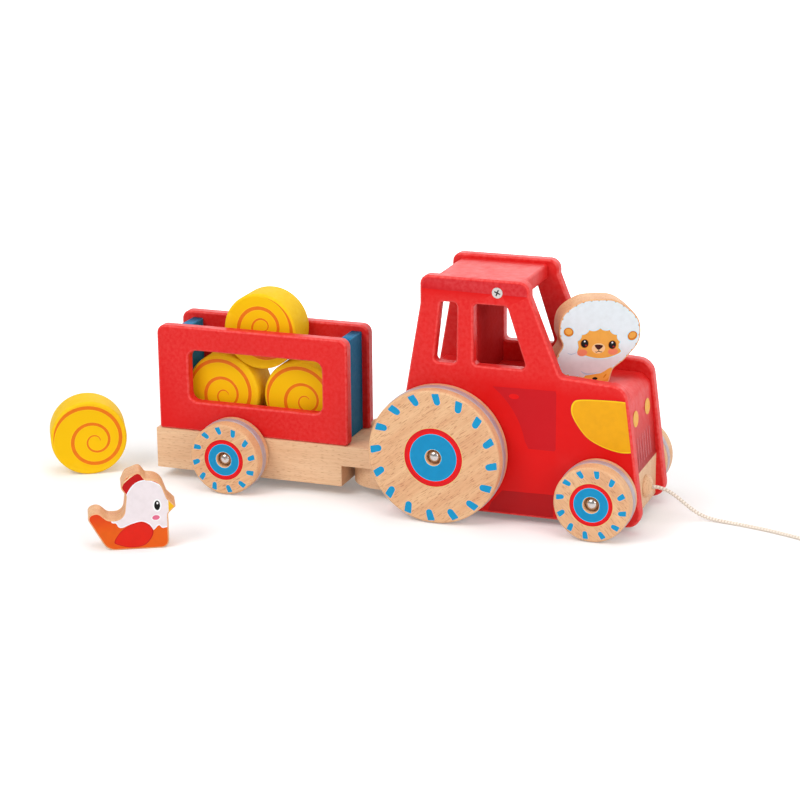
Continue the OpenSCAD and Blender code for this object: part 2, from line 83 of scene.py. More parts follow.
class Nodes:
    """A material under construction."""

    def __init__(self, name):
        self.mat = bpy.data.materials.new(name)
        self.mat.use_nodes = True
        self.tree = self.mat.node_tree
        self.bsdf = self.tree.nodes["Principled BSDF"]

    def new(self, kind, **values):
        n = self.tree.nodes.new(kind)
        for k, v in values.items():
            setattr(n, k, v)
        return n

    def link(self, a, b):
        self.tree.links.new(a, b)

    def set(self, **values):
        for k, v in values.items():
            self.bsdf.inputs[k.replace("_", " ")].default_value = v

    def coords(self, turn=(0, 0, 0), scale=(1, 1, 1), shift=(0, 0, 0)):
        """Object coordinates, turned back by turn first and then scaled."""
        c = self.new("ShaderNodeTexCoord")
        m = self.new("ShaderNodeMapping", vector_type="TEXTURE")
        m.inputs["Rotation"].default_value = [math.radians(t) for t in turn]
        m.inputs["Scale"].default_value = [1 / k for k in scale]
        m.inputs["Location"].default_value = shift
        self.link(c.outputs["Object"], m.inputs["Vector"])
        return m.outputs["Vector"]

    def noise(self, vector, scale, detail=2.0, rough=0.5, distort=0.0):
        n = self.new("ShaderNodeTexNoise")
        n.inputs["Scale"].default_value = scale
        n.inputs["Detail"].default_value = detail
        n.inputs["Roughness"].default_value = rough
        n.inputs["Distortion"].default_value = distort
        self.link(vector, n.inputs["Vector"])
        return n.outputs["Fac"]

    def span(self, value, low, high, to_low=0.0, to_high=1.0):
        n = self.new("ShaderNodeMapRange")
        for k, v in zip(("From Min", "From Max", "To Min", "To Max"), (low, high, to_low, to_high)):
            n.inputs[k].default_value = v
        self.link(value, n.inputs["Value"])
        return n.outputs["Result"]

    def mix(self, factor, a, b):
        n = self.new("ShaderNodeMix", data_type="RGBA")
        if isinstance(factor, float):
            n.inputs[0].default_value = factor
        else:
            self.link(factor, n.inputs[0])
        for socket, value in ((n.inputs[6], a), (n.inputs[7], b)):
            if isinstance(value, tuple):
                socket.default_value = value
            else:
                self.link(value, socket)
        return n.outputs[2]

    def times(self, a, b):
        n = self.new("ShaderNodeMath", operation="MULTIPLY")
        for socket, value in zip(n.inputs, (a, b)):
            if isinstance(value, float):
                socket.default_value = value
            else:
                self.link(value, socket)
        return n.outputs[0]

    def edge(self):
        """The share of a rounded edge at each point, as the mesh stores it; the paint and beech materials mix a
        painted highlight in by it.
        """
        a = self.new("ShaderNodeAttribute", attribute_name="edge")
        return a.outputs["Fac"]

    def bump(self, height, distance, strength=1.0):
        n = self.new("ShaderNodeBump")
        n.inputs["Strength"].default_value = strength
        n.inputs["Distance"].default_value = distance
        self.link(height, n.inputs["Height"])
        self.link(n.outputs["Normal"], self.bsdf.inputs["Normal"])

    def colour(self, socket):
        self.link(socket, self.bsdf.inputs["Base Color"])

    def roughness(self, socket):
        self.link(socket, self.bsdf.inputs["Roughness"])


def deeper(colour):
    """The colour without the grey that a lacquer's own reflection adds to it."""
    return tuple(max(c - 0.016, 0.0015) for c in colour[:3]) + (1,)


def paint(name, colour, light=None, rough=0.42, coat=0.0, wood_shows=0.0, shine=0.2):
    """Satin lacquer: slight cloudiness, a fine skin, and a painted highlight on rounded edges, towards the lighter
    colour.
    """
    n = Nodes(name)
    v = n.coords()
    colour = deeper(colour)
    cloud = n.noise(v, 22, 2)
    dark = tuple(c * 0.96 for c in colour[:3]) + (1,)
    lit = light or tuple(min(1, c * 1.12 + 0.012) for c in colour[:3]) + (1,)
    tone = n.mix(n.span(cloud, 0.35, 0.65), dark, colour)
    # Painted highlight: rounded edges, with some noise, are mixed towards the lighter colour lit, where light catches
    # them.
    edge_highlight = n.times(n.edge(), n.span(n.noise(v, 420, 3), 0.3, 0.7, 0.25, 0.9))
    tone = n.mix(edge_highlight, tone, lit)
    grain = n.noise(n.coords(scale=(0.06, 1, 1)), 900, 2)
    if wood_shows:
        tone = n.mix(n.times(n.span(grain, 0.52, 0.75), wood_shows), tone, dark)
    n.colour(tone)
    n.roughness(n.span(n.noise(v, 160, 4), 0.3, 0.7, rough - 0.05, rough + 0.07))
    n.bump(grain, 0.00006, 0.5)
    n.set(Coat_Weight=coat, Coat_Roughness=0.22, Specular_IOR_Level=shine)
    return n.mat


def beech(name, turn=(0, 0, 0), tone=1.0, warm=0.0, shift=(0, 0, 0), rough=0.5):
    """Beech with its grain along local X before the turn: soft rings, short dark ray flecks, and a painted highlight
    that makes rounded edges paler.
    """
    n = Nodes(name)
    k = tone
    pale = lin(238 * k, (200 - 8 * warm) * k, (160 - 16 * warm) * k)
    mid = lin(226 * k, (180 - 12 * warm) * k, (138 - 14 * warm) * k)
    dark = lin(182 * k, (122 - 8 * warm) * k, (84 - 8 * warm) * k)
    rings = n.noise(n.coords(turn, (2.2, 30, 30), shift), 5, 3, 0.5, 0.6)
    fine = n.noise(n.coords(turn, (9, 150, 150), shift), 9, 3, 0.6)
    fleck = n.noise(n.coords(turn, (45, 330, 330), shift), 5.5, 1, 0.4)
    tone_a = n.mix(n.span(rings, 0.32, 0.68), mid, pale)
    tone_b = n.mix(n.times(n.span(fine, 0.42, 0.75), 0.3), tone_a, dark)
    mark = n.span(fleck, 0.6, 0.69)
    tone_c = n.mix(n.times(mark, 0.7), tone_b, dark)
    # Painted highlight: rounded edges are mixed a quarter of the way towards the pale tone.
    n.colour(n.mix(n.times(n.edge(), 0.25), tone_c, pale))
    n.roughness(n.span(fine, 0.3, 0.7, rough - 0.06, rough + 0.1))
    n.bump(n.mix(0.5, fine, mark), 0.00012, 0.35)
    n.set(Specular_IOR_Level=0.3)
    return n.mat


def printed(name, colour, second=None, rough=0.42, axis=2, low=0.0, high=1.0):
    """Ink on board: a faint screen of the wood below, and a slow change to a second colour."""
    n = Nodes(name)
    v = n.coords()
    base = colour = deeper(colour)
    if second:
        second = deeper(second)
        c = n.new("ShaderNodeTexCoord")
        s = n.new("ShaderNodeSeparateXYZ")
        n.link(c.outputs["Object"], s.inputs[0])
        base = n.mix(n.span(s.outputs[axis], low, high), colour, second)
    soft = n.noise(v, 260, 3)
    shade = n.new("ShaderNodeMix", data_type="RGBA", blend_type="MULTIPLY")
    n.link(n.times(n.span(soft, 0.4, 0.75), 0.5), shade.inputs[0])
    if isinstance(base, tuple):
        shade.inputs[6].default_value = base
    else:
        n.link(base, shade.inputs[6])
    shade.inputs[7].default_value = (0.88, 0.87, 0.86, 1)
    n.colour(shade.outputs[2])
    n.roughness(n.span(n.noise(v, 300, 3), 0.3, 0.7, rough - 0.06, rough + 0.08))
    n.bump(n.noise(n.coords(scale=(0.1, 1, 1)), 1400, 2), 0.00004, 0.4)
    n.set(Specular_IOR_Level=0.22)
    return n.mat


def metal(name, colour, rough, brushed=0.0):
    n = Nodes(name)
    streak = n.noise(n.coords(scale=(1, 0.08, 1)), 1500, 2)
    n.colour(n.mix(n.span(streak, 0.35, 0.7), tuple(c * 0.86 for c in colour[:3]) + (1,), colour))
    n.roughness(n.span(n.noise(n.coords(), 700, 3), 0.3, 0.7, rough, rough + 0.08 + brushed))
    n.bump(streak, 0.00002, 0.3)
    n.set(Metallic=1.0)
    return n.mat


def rubber(name):
    n = Nodes(name)
    v = n.coords()
    n.colour(n.mix(n.span(n.noise(v, 90, 3), 0.3, 0.7), lin(196, 178, 186), lin(214, 198, 204)))
    n.roughness(n.span(n.noise(v, 500, 3), 0.3, 0.7, 0.3, 0.42))
    n.bump(n.noise(v, 1200, 2), 0.00004, 0.4)
    n.set(Transmission_Weight=0.35, IOR=1.45)
    n.set(Subsurface_Weight=0.2, Subsurface_Radius=(0.002, 0.0015, 0.0015))
    n.set(Subsurface_Scale=1.0)
    return n.mat


def cotton(name):
    """Twisted cotton: two sets of slanting strands along the cord's UV."""
    n = Nodes(name)
    c = n.new("ShaderNodeTexCoord")
    m = n.new("ShaderNodeMapping")
    m.inputs["Rotation"].default_value = (0, 0, math.radians(32))
    m.inputs["Scale"].default_value = (1, 1, 1)
    n.link(c.outputs["UV"], m.inputs["Vector"])
    w = n.new("ShaderNodeTexWave", wave_type="BANDS", bands_direction="X")
    w.inputs["Scale"].default_value = 0.42
    w.inputs["Distortion"].default_value = 1.2
    w.inputs["Detail"].default_value = 2
    n.link(m.outputs["Vector"], w.inputs["Vector"])
    fuzz = n.noise(n.coords(), 2600, 3)
    n.colour(n.mix(n.span(w.outputs["Fac"], 0.0, 0.8), lin(214, 200, 182), lin(246, 236, 222)))
    n.roughness(n.span(fuzz, 0.3, 0.7, 0.75, 0.95))
    n.bump(w.outputs["Fac"], 0.00025, 0.8)
    n.set(Sheen_Weight=0.3, Sheen_Roughness=0.5, Specular_IOR_Level=0.2)
    return n.mat


# ---- Mesh helpers ------------------------------------------------------------------------------

class Build:
    """A mesh under construction, with its own normal at each face corner and an edge value at each point."""

    def __init__(self):
        self.points, self.edge, self.faces, self.normals, self.slots = [], [], [], [], []

    def point(self, p, edge=0.0):
        self.points.append(tuple(p))
        self.edge.append(edge)
        return len(self.points) - 1

    def face(self, ids, normals, slot=0):
        a, b, c = (Vector(self.points[ids[k]]) for k in (0, 1, 2))
        if (b - a).cross(c - a).dot(sum(normals, Vector())) < 0:
            ids, normals = ids[::-1], normals[::-1]
        self.faces.append(list(ids))
        self.normals.extend(normals)
        self.slots.append(slot)

    def band(self, ring_a, ring_b, normals_a, normals_b, slot=0):
        """Quads between two rings. A slot may be a function of the quad's index."""
        n = len(ring_a)
        for i in range(n):
            j = (i + 1) % n
            chosen = slot(i) if callable(slot) else slot
            self.face([ring_a[i], ring_a[j], ring_b[j], ring_b[i]],
                      [normals_a[i], normals_a[j], normals_b[j], normals_b[i]], chosen)

    def finish(self, name, materials, body, replaces=(), slot=None, place=None):
        mesh = bpy.data.meshes.new(name)
        mesh.from_pydata(self.points, [], self.faces)
        for m in materials:
            mesh.materials.append(m)
        mesh.polygons.foreach_set("material_index", self.slots)
        mesh.polygons.foreach_set("use_smooth", [True] * len(self.faces))
        mesh.attributes.new("edge", "FLOAT", "POINT").data.foreach_set("value", self.edge)
        mesh.update()
        mesh.normals_split_custom_set([tuple(v) for v in self.normals])
        o = bpy.data.objects.new(name, mesh)
        scene.collection.objects.link(o)
        if place:
            o.matrix_world = place
        return own(o, body, replaces)


def own(o, body, replaces=()):
    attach(o, body)
    if replaces:
        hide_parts(*replaces)
    return o


def area(loop):
    return sum(a[0] * b[1] - b[0] * a[1] for a, b in zip(loop, loop[1:] + loop[:1])) / 2


def inside(p, loop):
    x, y = p
    hit = False
    for a, b in zip(loop, loop[1:] + loop[:1]):
        if (a[1] > y) != (b[1] > y) and x < (b[0] - a[0]) * (y - a[1]) / (b[1] - a[1]) + a[0]:
            hit = not hit
    return hit


def outward(loop):
    """At each point of a loop that has its material on the left: (offset direction for 1 unit, unit normal)."""
    found = []
    n = len(loop)
    for i in range(n):
        p, a, b = Vector(loop[i]), Vector(loop[i - 1]), Vector(loop[(i + 1) % n])
        e, f = p - a, b - p
        ne, nf = Vector((e.y, -e.x)).normalized(), Vector((f.y, -f.x)).normalized()
        both = ne + nf
        found.append((both / max(0.3, 1 + ne.dot(nf)), (ne * e.length + nf * f.length).normalized()))
    return found


def moved(loop, distance):
    """The loop, moved towards its material by a distance."""
    return [(p[0] - o.x * distance, p[1] - o.y * distance) for p, (o, _) in zip(loop, outward(loop))]


def circle(cx, cy, r, n=96, start=0.0):
    angles = [start + math.tau * i / n for i in range(n)]
    return [(cx + r * math.cos(a), cy + r * math.sin(a)) for a in angles]


def ellipse(cx, cy, rx, ry, n=40, turn=0.0):
    c, s = math.cos(math.radians(turn)), math.sin(math.radians(turn))
    flat = [(rx * math.cos(math.tau * i / n), ry * math.sin(math.tau * i / n)) for i in range(n)]
    return [(cx + x * c - y * s, cy + x * s + y * c) for x, y in flat]


def smooth(points, steps=6, closed=True):
    """A curve through the points (Catmull-Rom)."""
    n = len(points)
    out = []
    for i in range(n if closed else n - 1):
        p = [Vector(points[k % n] if closed else points[min(max(k, 0), n - 1)]) for k in (i - 1, i, i + 1, i + 2)]
        for s in range(steps):
            t = s / steps
            q = 0.5 * (2 * p[1] + (p[2] - p[0]) * t + (2 * p[0] - 5 * p[1] + 4 * p[2] - p[3]) * t * t
                       + (3 * p[1] - p[0] - 3 * p[2] + p[3]) * t ** 3)
            out.append(tuple(q))
    if not closed:
        out.append(tuple(points[-1]))
    return out


def fill(build, rings, lift, normal, regions, slot=0):
    """Fills a flat face. rings are [(loop, point ids)], the first outside and the others holes.
    regions are [(loop, slot)]: where several hold a point, the last one colours it."""
    coords, edges, ids = [], [], []
    for loop, known in rings:
        base = len(coords)
        coords += [Vector(p) * 1000 for p in loop]
        edges += [(base + i, base + (i + 1) % len(loop)) for i in range(len(loop))]
        ids += known
    for loop, _ in regions:
        base = len(coords)
        coords += [Vector(p) * 1000 for p in loop]
        edges += [(base + i, base + (i + 1) % len(loop)) for i in range(len(loop))]
    points, _, faces, came, _, _ = delaunay_2d_cdt(coords, edges, [], 0, 1e-4)
    made = {}
    boxes = [(min(p[0] for p in r), max(p[0] for p in r), min(p[1] for p in r), max(p[1] for p in r), r, s)
             for r, s in regions]
    for f in faces:
        c = tuple(sum((points[i][k] for i in f)) / len(f) / 1000 for k in (0, 1))
        if not inside(c, rings[0][0]) or any(inside(c, hole) for hole, _ in rings[1:]):
            continue
        corner = []
        for i in f:
            if i not in made:
                old = [k for k in came[i] if k < len(ids)]
                made[i] = ids[old[0]] if old else build.point(lift(points[i][0] / 1000, points[i][1] / 1000))
            corner.append(made[i])
        chosen = slot
        for x0, x1, y0, y1, r, s in boxes:
            if x0 <= c[0] <= x1 and y0 <= c[1] <= y1 and inside(c, r):
                chosen = s
        build.face(corner, [normal] * len(corner), chosen)


def round_steps(radius, count=4):
    """(inset, drop, angle) from the flat face over the rounded edge to the side."""
    return [(radius * (1 - math.sin(math.radians(a))), radius * (1 - math.cos(math.radians(a))), a)
            for a in [90 * k / count for k in range(count + 1)]]


SMALL_HOLE = 1.2e-4


def board(loops, low, high, radius, lift, front=(), back=(), side_slot=0, face_slot=0):
    """A board with rounded edges. loops[0] is its outline, the others holes, all flat. Small holes stay sharp.
    lift(x, y, h) makes a point: h runs from low to high, and the back is at low."""
    build = Build()
    up = (Vector(lift(0, 0, 1)) - Vector(lift(0, 0, 0))).normalized()
    ux = (Vector(lift(1, 0, 0)) - Vector(lift(0, 0, 0))).normalized()
    uy = (Vector(lift(0, 1, 0)) - Vector(lift(0, 0, 0))).normalized()
    ends = {True: [], False: []}
    for k, loop in enumerate(loops):
        loop = list(loop)
        if (area(loop) < 0) == (k == 0):
            loop = loop[::-1]
        r = radius if k == 0 or abs(area(loop)) > SMALL_HOLE else 0.0002
        flow = outward(loop)
        rings, normals = [], []
        steps = round_steps(r)
        for at_top, order in ((True, steps), (False, steps[::-1])):
            for inset, drop, angle in order:
                h = high - drop if at_top else low + drop
                tilt = math.radians(angle)
                flat = moved(loop, inset)
                # share is the edge value: how much painted highlight the materials give this ring.
                share = 1.0 if 0 < angle < 90 else 0.35
                rings.append((flat, [build.point(lift(x, y, h), share) for x, y in flat]))
                side = math.sin(tilt)
                normals.append([((ux * f[1].x + uy * f[1].y) * side
                                 + up * (math.cos(tilt) if at_top else -math.cos(tilt))).normalized() for f in flow])
        for i in range(len(rings) - 1):
            build.band(rings[i][1], rings[i + 1][1], normals[i], normals[i + 1], side_slot)
        ends[True].append(rings[0])
        ends[False].append(rings[-1])
    fill(build, ends[True], lambda x, y: lift(x, y, high), up, list(front), face_slot)
    fill(build, ends[False], lambda x, y: lift(x, y, low), -up, list(back), face_slot)
    return build


def face_loops(node, axis, at_high, place=None):
    """The closed outlines of a CAD node's flat face at one end of an axis, the longest first."""
    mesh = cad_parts[node].data.copy()
    if place:
        mesh.transform(place.inverted())
    level = (max if at_high else min)(v.co[axis] for v in mesh.vertices)
    keep = [k for k in range(3) if k != axis]
    count, names = {}, {}
    mesh.calc_loop_triangles()
    for t in mesh.loop_triangles:
        co = [mesh.vertices[i].co for i in t.vertices]
        if all(abs(c[axis] - level) < 2e-5 for c in co):
            key = [tuple(round(c[k] * 1e6) for k in keep) for c in co]
            for k, c in zip(key, co):
                names[k] = (c[keep[0]], c[keep[1]])
            for a, b in zip(key, key[1:] + key[:1]):
                count[(a, b)] = count.get((a, b), 0) + 1
    follow = {}
    for a, b in count:
        if (b, a) not in count:
            follow[a] = b
    loops = []
    while follow:
        start = next(iter(follow))
        loop, at = [], start
        while at in follow:
            loop.append(names[at])
            at = follow.pop(at)
        loops.append(loop)
    return sorted(loops, key=lambda p: -abs(area(p)))


def turned(build, profile, segments, slots=0):
    """A solid of revolution about local Y. profile is [(radius, y, edge)] from the back to the front;
    corners of over 40 degrees stay sharp. Returns every ring's point ids, from the back to the front."""
    lines = [Vector((b[0] - a[0], b[1] - a[1])) for a, b in zip(profile, profile[1:])]
    flat = [Vector((-v.y, v.x)).normalized() * -1 for v in lines]
    rings = []
    for r, y, e in profile:
        rings.append([build.point((r * math.cos(math.tau * i / segments), y, r * math.sin(math.tau * i / segments)), e)
                      for i in range(segments)])
    for k, n in enumerate(flat):
        def at(other):
            return (n + other).normalized() if other is not None and n.dot(other) > 0.76 else n
        n0 = at(flat[k - 1] if k else None)
        n1 = at(flat[k + 1] if k + 1 < len(flat) else None)
        angles = [math.tau * i / segments for i in range(segments)]
        spin = [(math.cos(a), math.sin(a)) for a in angles]
        chosen = slots[k] if isinstance(slots, list) else slots
        build.band(rings[k], rings[k + 1], [Vector((c * n0.x, n0.y, s * n0.x)) for c, s in spin],
                   [Vector((c * n1.x, n1.y, s * n1.x)) for c, s in spin], chosen)
    return rings


def ring_loop(radius, segments):
    return circle(0, 0, radius, segments)


# ---- Materials ---------------------------------------------------------------------------------

RED = lin(221, 34, 29)
M = {
    # The second colour given to paint() is the colour of its painted edge highlight.
    "red": paint("red_paint", RED, lin(236, 88, 84)),
    # Painted shade: a darker, duller copy of the red paint for the board inside the cab.
    "red_shaded_inner": paint("red_paint_inner_shaded", lin(176, 30, 30), lin(200, 60, 60), rough=0.8, shine=0.06),
    "red_shade": paint("red_print_dark", lin(200, 36, 42), lin(226, 84, 84), rough=0.4),
    "red_band": paint("red_print_band", lin(204, 34, 40), lin(230, 96, 100), rough=0.4),
    "red_skirt": paint("red_print_skirt", lin(184, 34, 39), lin(210, 74, 76), rough=0.42),
    "grille": printed("grille_print", lin(222, 112, 118)),
    "red_bright": paint("red_print_bright", lin(232, 34, 26), rough=0.4),
    "red_line": paint("red_print_line", lin(206, 26, 50), rough=0.4),
    "blue": paint("blue_paint", lin(22, 112, 160), lin(60, 158, 200), rough=0.6, shine=0.12),
    "lamp": printed("lamp_print", lin(235, 168, 24)),
    "lamp_line": printed("lamp_line_print", lin(246, 206, 40)),
    "deck": beech("beech_deck", tone=1.0, shift=(0.3, 0.1, 0.2)),
    "chassis": beech("beech_chassis", tone=0.98, shift=(1.3, 0.6, 0.2)),
    "turned": beech("beech_turned", turn=(0, 90, 0), tone=1.0, shift=(0.2, 0.7, 0.1)),
    "wheel_a": beech("beech_wheel_rear", turn=(0, 38, 0), tone=0.97, warm=0.8),
    "wheel_b": beech("beech_wheel_front", turn=(0, -44, 0), tone=0.97, warm=0.8, shift=(0.5, 0.2, 0.9)),
    "wheel_c": beech("beech_wheel_trailer", turn=(0, 30, 0), tone=0.96, warm=1.0, shift=(0.9, 0.4, 0.3)),
    "tick": printed("tick_print", lin(8, 150, 200)),
    "halo": printed("halo_print", lin(248, 188, 138)),
    "ring_red": printed("ring_red_print", lin(216, 38, 44)),
    "ring_red_2": printed("ring_red_inner_print", lin(232, 30, 26)),
    "ring_cream": printed("ring_cream_print", lin(226, 196, 130)),
    "disc": printed("disc_blue_print", lin(4, 142, 192)),
    "disc_line": printed("disc_line_print", lin(30, 176, 224)),
    "rubber": rubber("clear_rubber"),
    "steel": metal("bright_steel", lin(212, 206, 202), 0.16),
    # Painted shade: darker steel for the screws' cross recesses.
    "dark": metal("screw_recess_shaded_steel", lin(96, 92, 92), 0.35, 0.1),
    "cotton": cotton("cotton_cord"),
    "straw": paint("straw_paint", lin(244, 194, 8), lin(246, 200, 30), rough=0.6, shine=0.12),
    "straw_side": paint("straw_paint_side", lin(244, 194, 8), lin(246, 202, 30), rough=0.6, shine=0.12),
    "swirl": printed("swirl_print", lin(232, 122, 24)),
    "swirl_line": printed("swirl_line_print", lin(250, 206, 40)),
    "wool": printed("wool_print", lin(216, 204, 206), lin(222, 230, 235), low=0.014, high=0.026),
    "wool_line": printed("wool_line_print", lin(196, 230, 242)),
    "wool_curl": printed("wool_curl_print", lin(168, 184, 208)),
    "fleece_edge": printed("fleece_edge_print", lin(222, 146, 62)),
    "tan": printed("tan_print", lin(231, 164, 76)),
    "tan_light": printed("tan_light_print", lin(240, 196, 146)),
    "tan_dark": printed("tan_dark_print", lin(206, 120, 40)),
    "pink": printed("pink_print", lin(232, 128, 96)),
    "brown": printed("brown_print", lin(72, 18, 16)),
    "black": printed("black_print", lin(6, 4, 5), rough=0.6),
    "white": printed("white_print", lin(246, 246, 246)),
    "hen_head": printed("hen_head_print", lin(234, 224, 227)),
    "hen_line": printed("hen_line_print", lin(240, 242, 248)),
    "hen_body": printed("hen_body_print", lin(226, 98, 30), lin(222, 60, 30), low=0.012, high=0.026),
    "hen_edge": printed("hen_edge_print", lin(226, 60, 24)),
    "hen_wing": printed("hen_wing_print", lin(221, 46, 30)),
    "hen_wing_edge": printed("hen_wing_edge_print", lin(196, 30, 34)),
    "comb": printed("comb_print", lin(190, 30, 32)),
    "cream": printed("cream_print", lin(238, 220, 170)),
    "beak": printed("beak_print", lin(240, 184, 40)),
    "rose": printed("rose_print", lin(222, 112, 142)),
    "figure": beech("beech_figure", turn=(0, -70, 0), tone=0.97, warm=1.4, shift=(0.2, 0.3, 0.8)),
}


# ---- Cord --------------------------------------------------------------------------------------

CORD_D = 2.4 * MM
ROUTE = [(211.2, 58, 21.5), (213, 58, 21.4), (216, 58.1, 21.1), (221, 58.6, 19.4), (226, 59.4, 16.2),
         (231, 60.4, 12.1), (236, 61.4, 8), (241, 62.2, 4.7), (247, 62.8, 2.4), (254, 62.6, 1.4),
         (262, 61.4, 1.2), (270, 59.8, 1.2), (278, 57.8, 1.2), (286, 55.6, 1.2), (294, 53, 1.2),
         (302, 50, 1.2), (309, 47.2, 1.2), (315, 44.6, 1.2)]
TAIL = [(346.9, 60, 3), (347, 64, 2), (346.9, 68, 2.2), (346.5, 72, 4.2), (346.2, 76, 6), (346.1, 78.5, 7)]


def coil_path():
    """Three turns inwards on the floor, half a turn up, and three turns outwards on top, in millimetres."""
    at, step = (331, 54), 7.5
    outer, inner = 15.6, 8.4
    first, rise, last = 243.0, 243.0 + 1080, 2520.0
    points, a = [], first
    while a < last + 0.01:
        if a <= rise:
            r, z = outer - (outer - inner) * (a - first) / 1080, 1.2
        elif a <= rise + 180:
            t = (a - rise) / 180
            r, z = inner - 0.6 * math.sin(math.pi * t), 1.2 + 2.4 * (t * t * (3 - 2 * t))
        else:
            r, z = inner + (outer - inner) * (a - rise - 180) / (last - rise - 180), 3.6
        points.append((at[0] + r * math.cos(math.radians(a)), at[1] + r * math.sin(math.radians(a)), z))
        a += step
    return points


def make_cord():
    path = smooth(ROUTE + coil_path() + TAIL, 3, closed=False)
    path = [Vector(p) * MM for p in path]
    sides = 14
    build = Build()
    rings, along = [], [0.0]
    for a, b in zip(path, path[1:]):
        along.append(along[-1] + (b - a).length)
    for i, p in enumerate(path):
        way = (path[min(i + 1, len(path) - 1)] - path[max(i - 1, 0)]).normalized()
        s = way.cross(Vector((0, 0, 1))).normalized()
        u = s.cross(way)
        spin = [math.cos(math.tau * k / sides) * s + math.sin(math.tau * k / sides) * u for k in range(sides)]
        rings.append(([build.point(p + v * CORD_D / 2) for v in spin], spin))
    for (a, na), (b, nb) in zip(rings, rings[1:]):
        build.band(a, b, na, nb)
    for ring, nxt in ((rings[0], 1), (rings[-1], len(path) - 2)):
        end = 0 if nxt == 1 else len(path) - 1
        out = (path[end] - path[nxt]).normalized()
        build.face(ring[0], [out] * sides)
    ball = pull_ball()
    o = build.finish("pull_cord_twisted", [M["cotton"]], "tractor", ("pull_cord", "cord_coil"), "cotton_cord")
    uv = o.data.uv_layers.new(name="UVMap")
    spot = {}
    for i, (ids, _) in enumerate(rings):
        for k, v in enumerate(ids):
            spot[v] = (along[i] / CORD_D, k / sides)
    for poly in o.data.polygons:
        for li in poly.loop_indices:
            uv.data[li].uv = spot[o.data.loops[li].vertex_index]


def pull_ball():
    """The turned ball on the cord's end."""
    lo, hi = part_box("pull_ball")
    c, r = (lo + hi) / 2, (hi.z - lo.z) / 2
    build = Build()
    n, rows = 56, 28
    rings = []
    for i in range(1, rows):
        a = math.pi * i / rows
        ring = [Vector((math.sin(a) * math.cos(math.tau * k / n), math.sin(a) * math.sin(math.tau * k / n),
                        -math.cos(a)))
                for k in range(n)]
        rings.append(([build.point(v * r) for v in ring], ring))
    for (a, na), (b, nb) in zip(rings, rings[1:]):
        build.band(a, b, na, nb)
    for (ids, normals), s in ((rings[0], -1), (rings[-1], 1)):
        pole = build.point((0, 0, s * r))
        for k in range(n):
            j = (k + 1) % n
            build.face([ids[k], ids[j], pole], [normals[k], normals[j], Vector((0, 0, s))])
    return build.finish("pull_ball_turned", [M["turned"]], "tractor", ("pull_ball",), "beech_turned",
                        Matrix.Translation(c))


make_cord()


# ---- Wheels ------------------------------------------------------------------------------------

SEGMENTS = 144
RIM = 1.5 * MM
HUB_DEPTH = 5 * MM
HUB_R = 5.2 * MM
BORE_R = 2.58 * MM
GROOVE = (5 * MM, 11 * MM, 2 * MM)


def tick(angle, lean, inner, outer, wide_in, wide_out, grow=0.0):
    """A short radial stroke: its inner end is round, its outer end nearly straight, and it leans a little."""
    out = []
    a1, a0 = math.radians(angle), math.radians(angle - lean)
    p1 = Vector((math.cos(a1), math.sin(a1))) * (outer + grow * 0.5)
    p0 = Vector((math.cos(a0), math.sin(a0))) * inner
    way = (p1 - p0).normalized()
    side = Vector((-way.y, way.x))
    w0, w1 = wide_in / 2 + grow, wide_out / 2 + grow
    out.append(p1 + side * w1 * 0.8)
    for t in (0.92, 0.5):
        out.append(p0.lerp(p1, t) + side * (w0 + (w1 - w0) * t))
    for k in range(0, 9):
        a = math.pi * k / 8
        out.append(p0 + way * (w0 - grow) + (side * math.cos(a) - way * math.sin(a)) * w0)
    for t in (0.5, 0.92):
        out.append(p0.lerp(p1, t) - side * (w0 + (w1 - w0) * t))
    out.append(p1 - side * w1 * 0.8)
    return [tuple(v) for v in out]


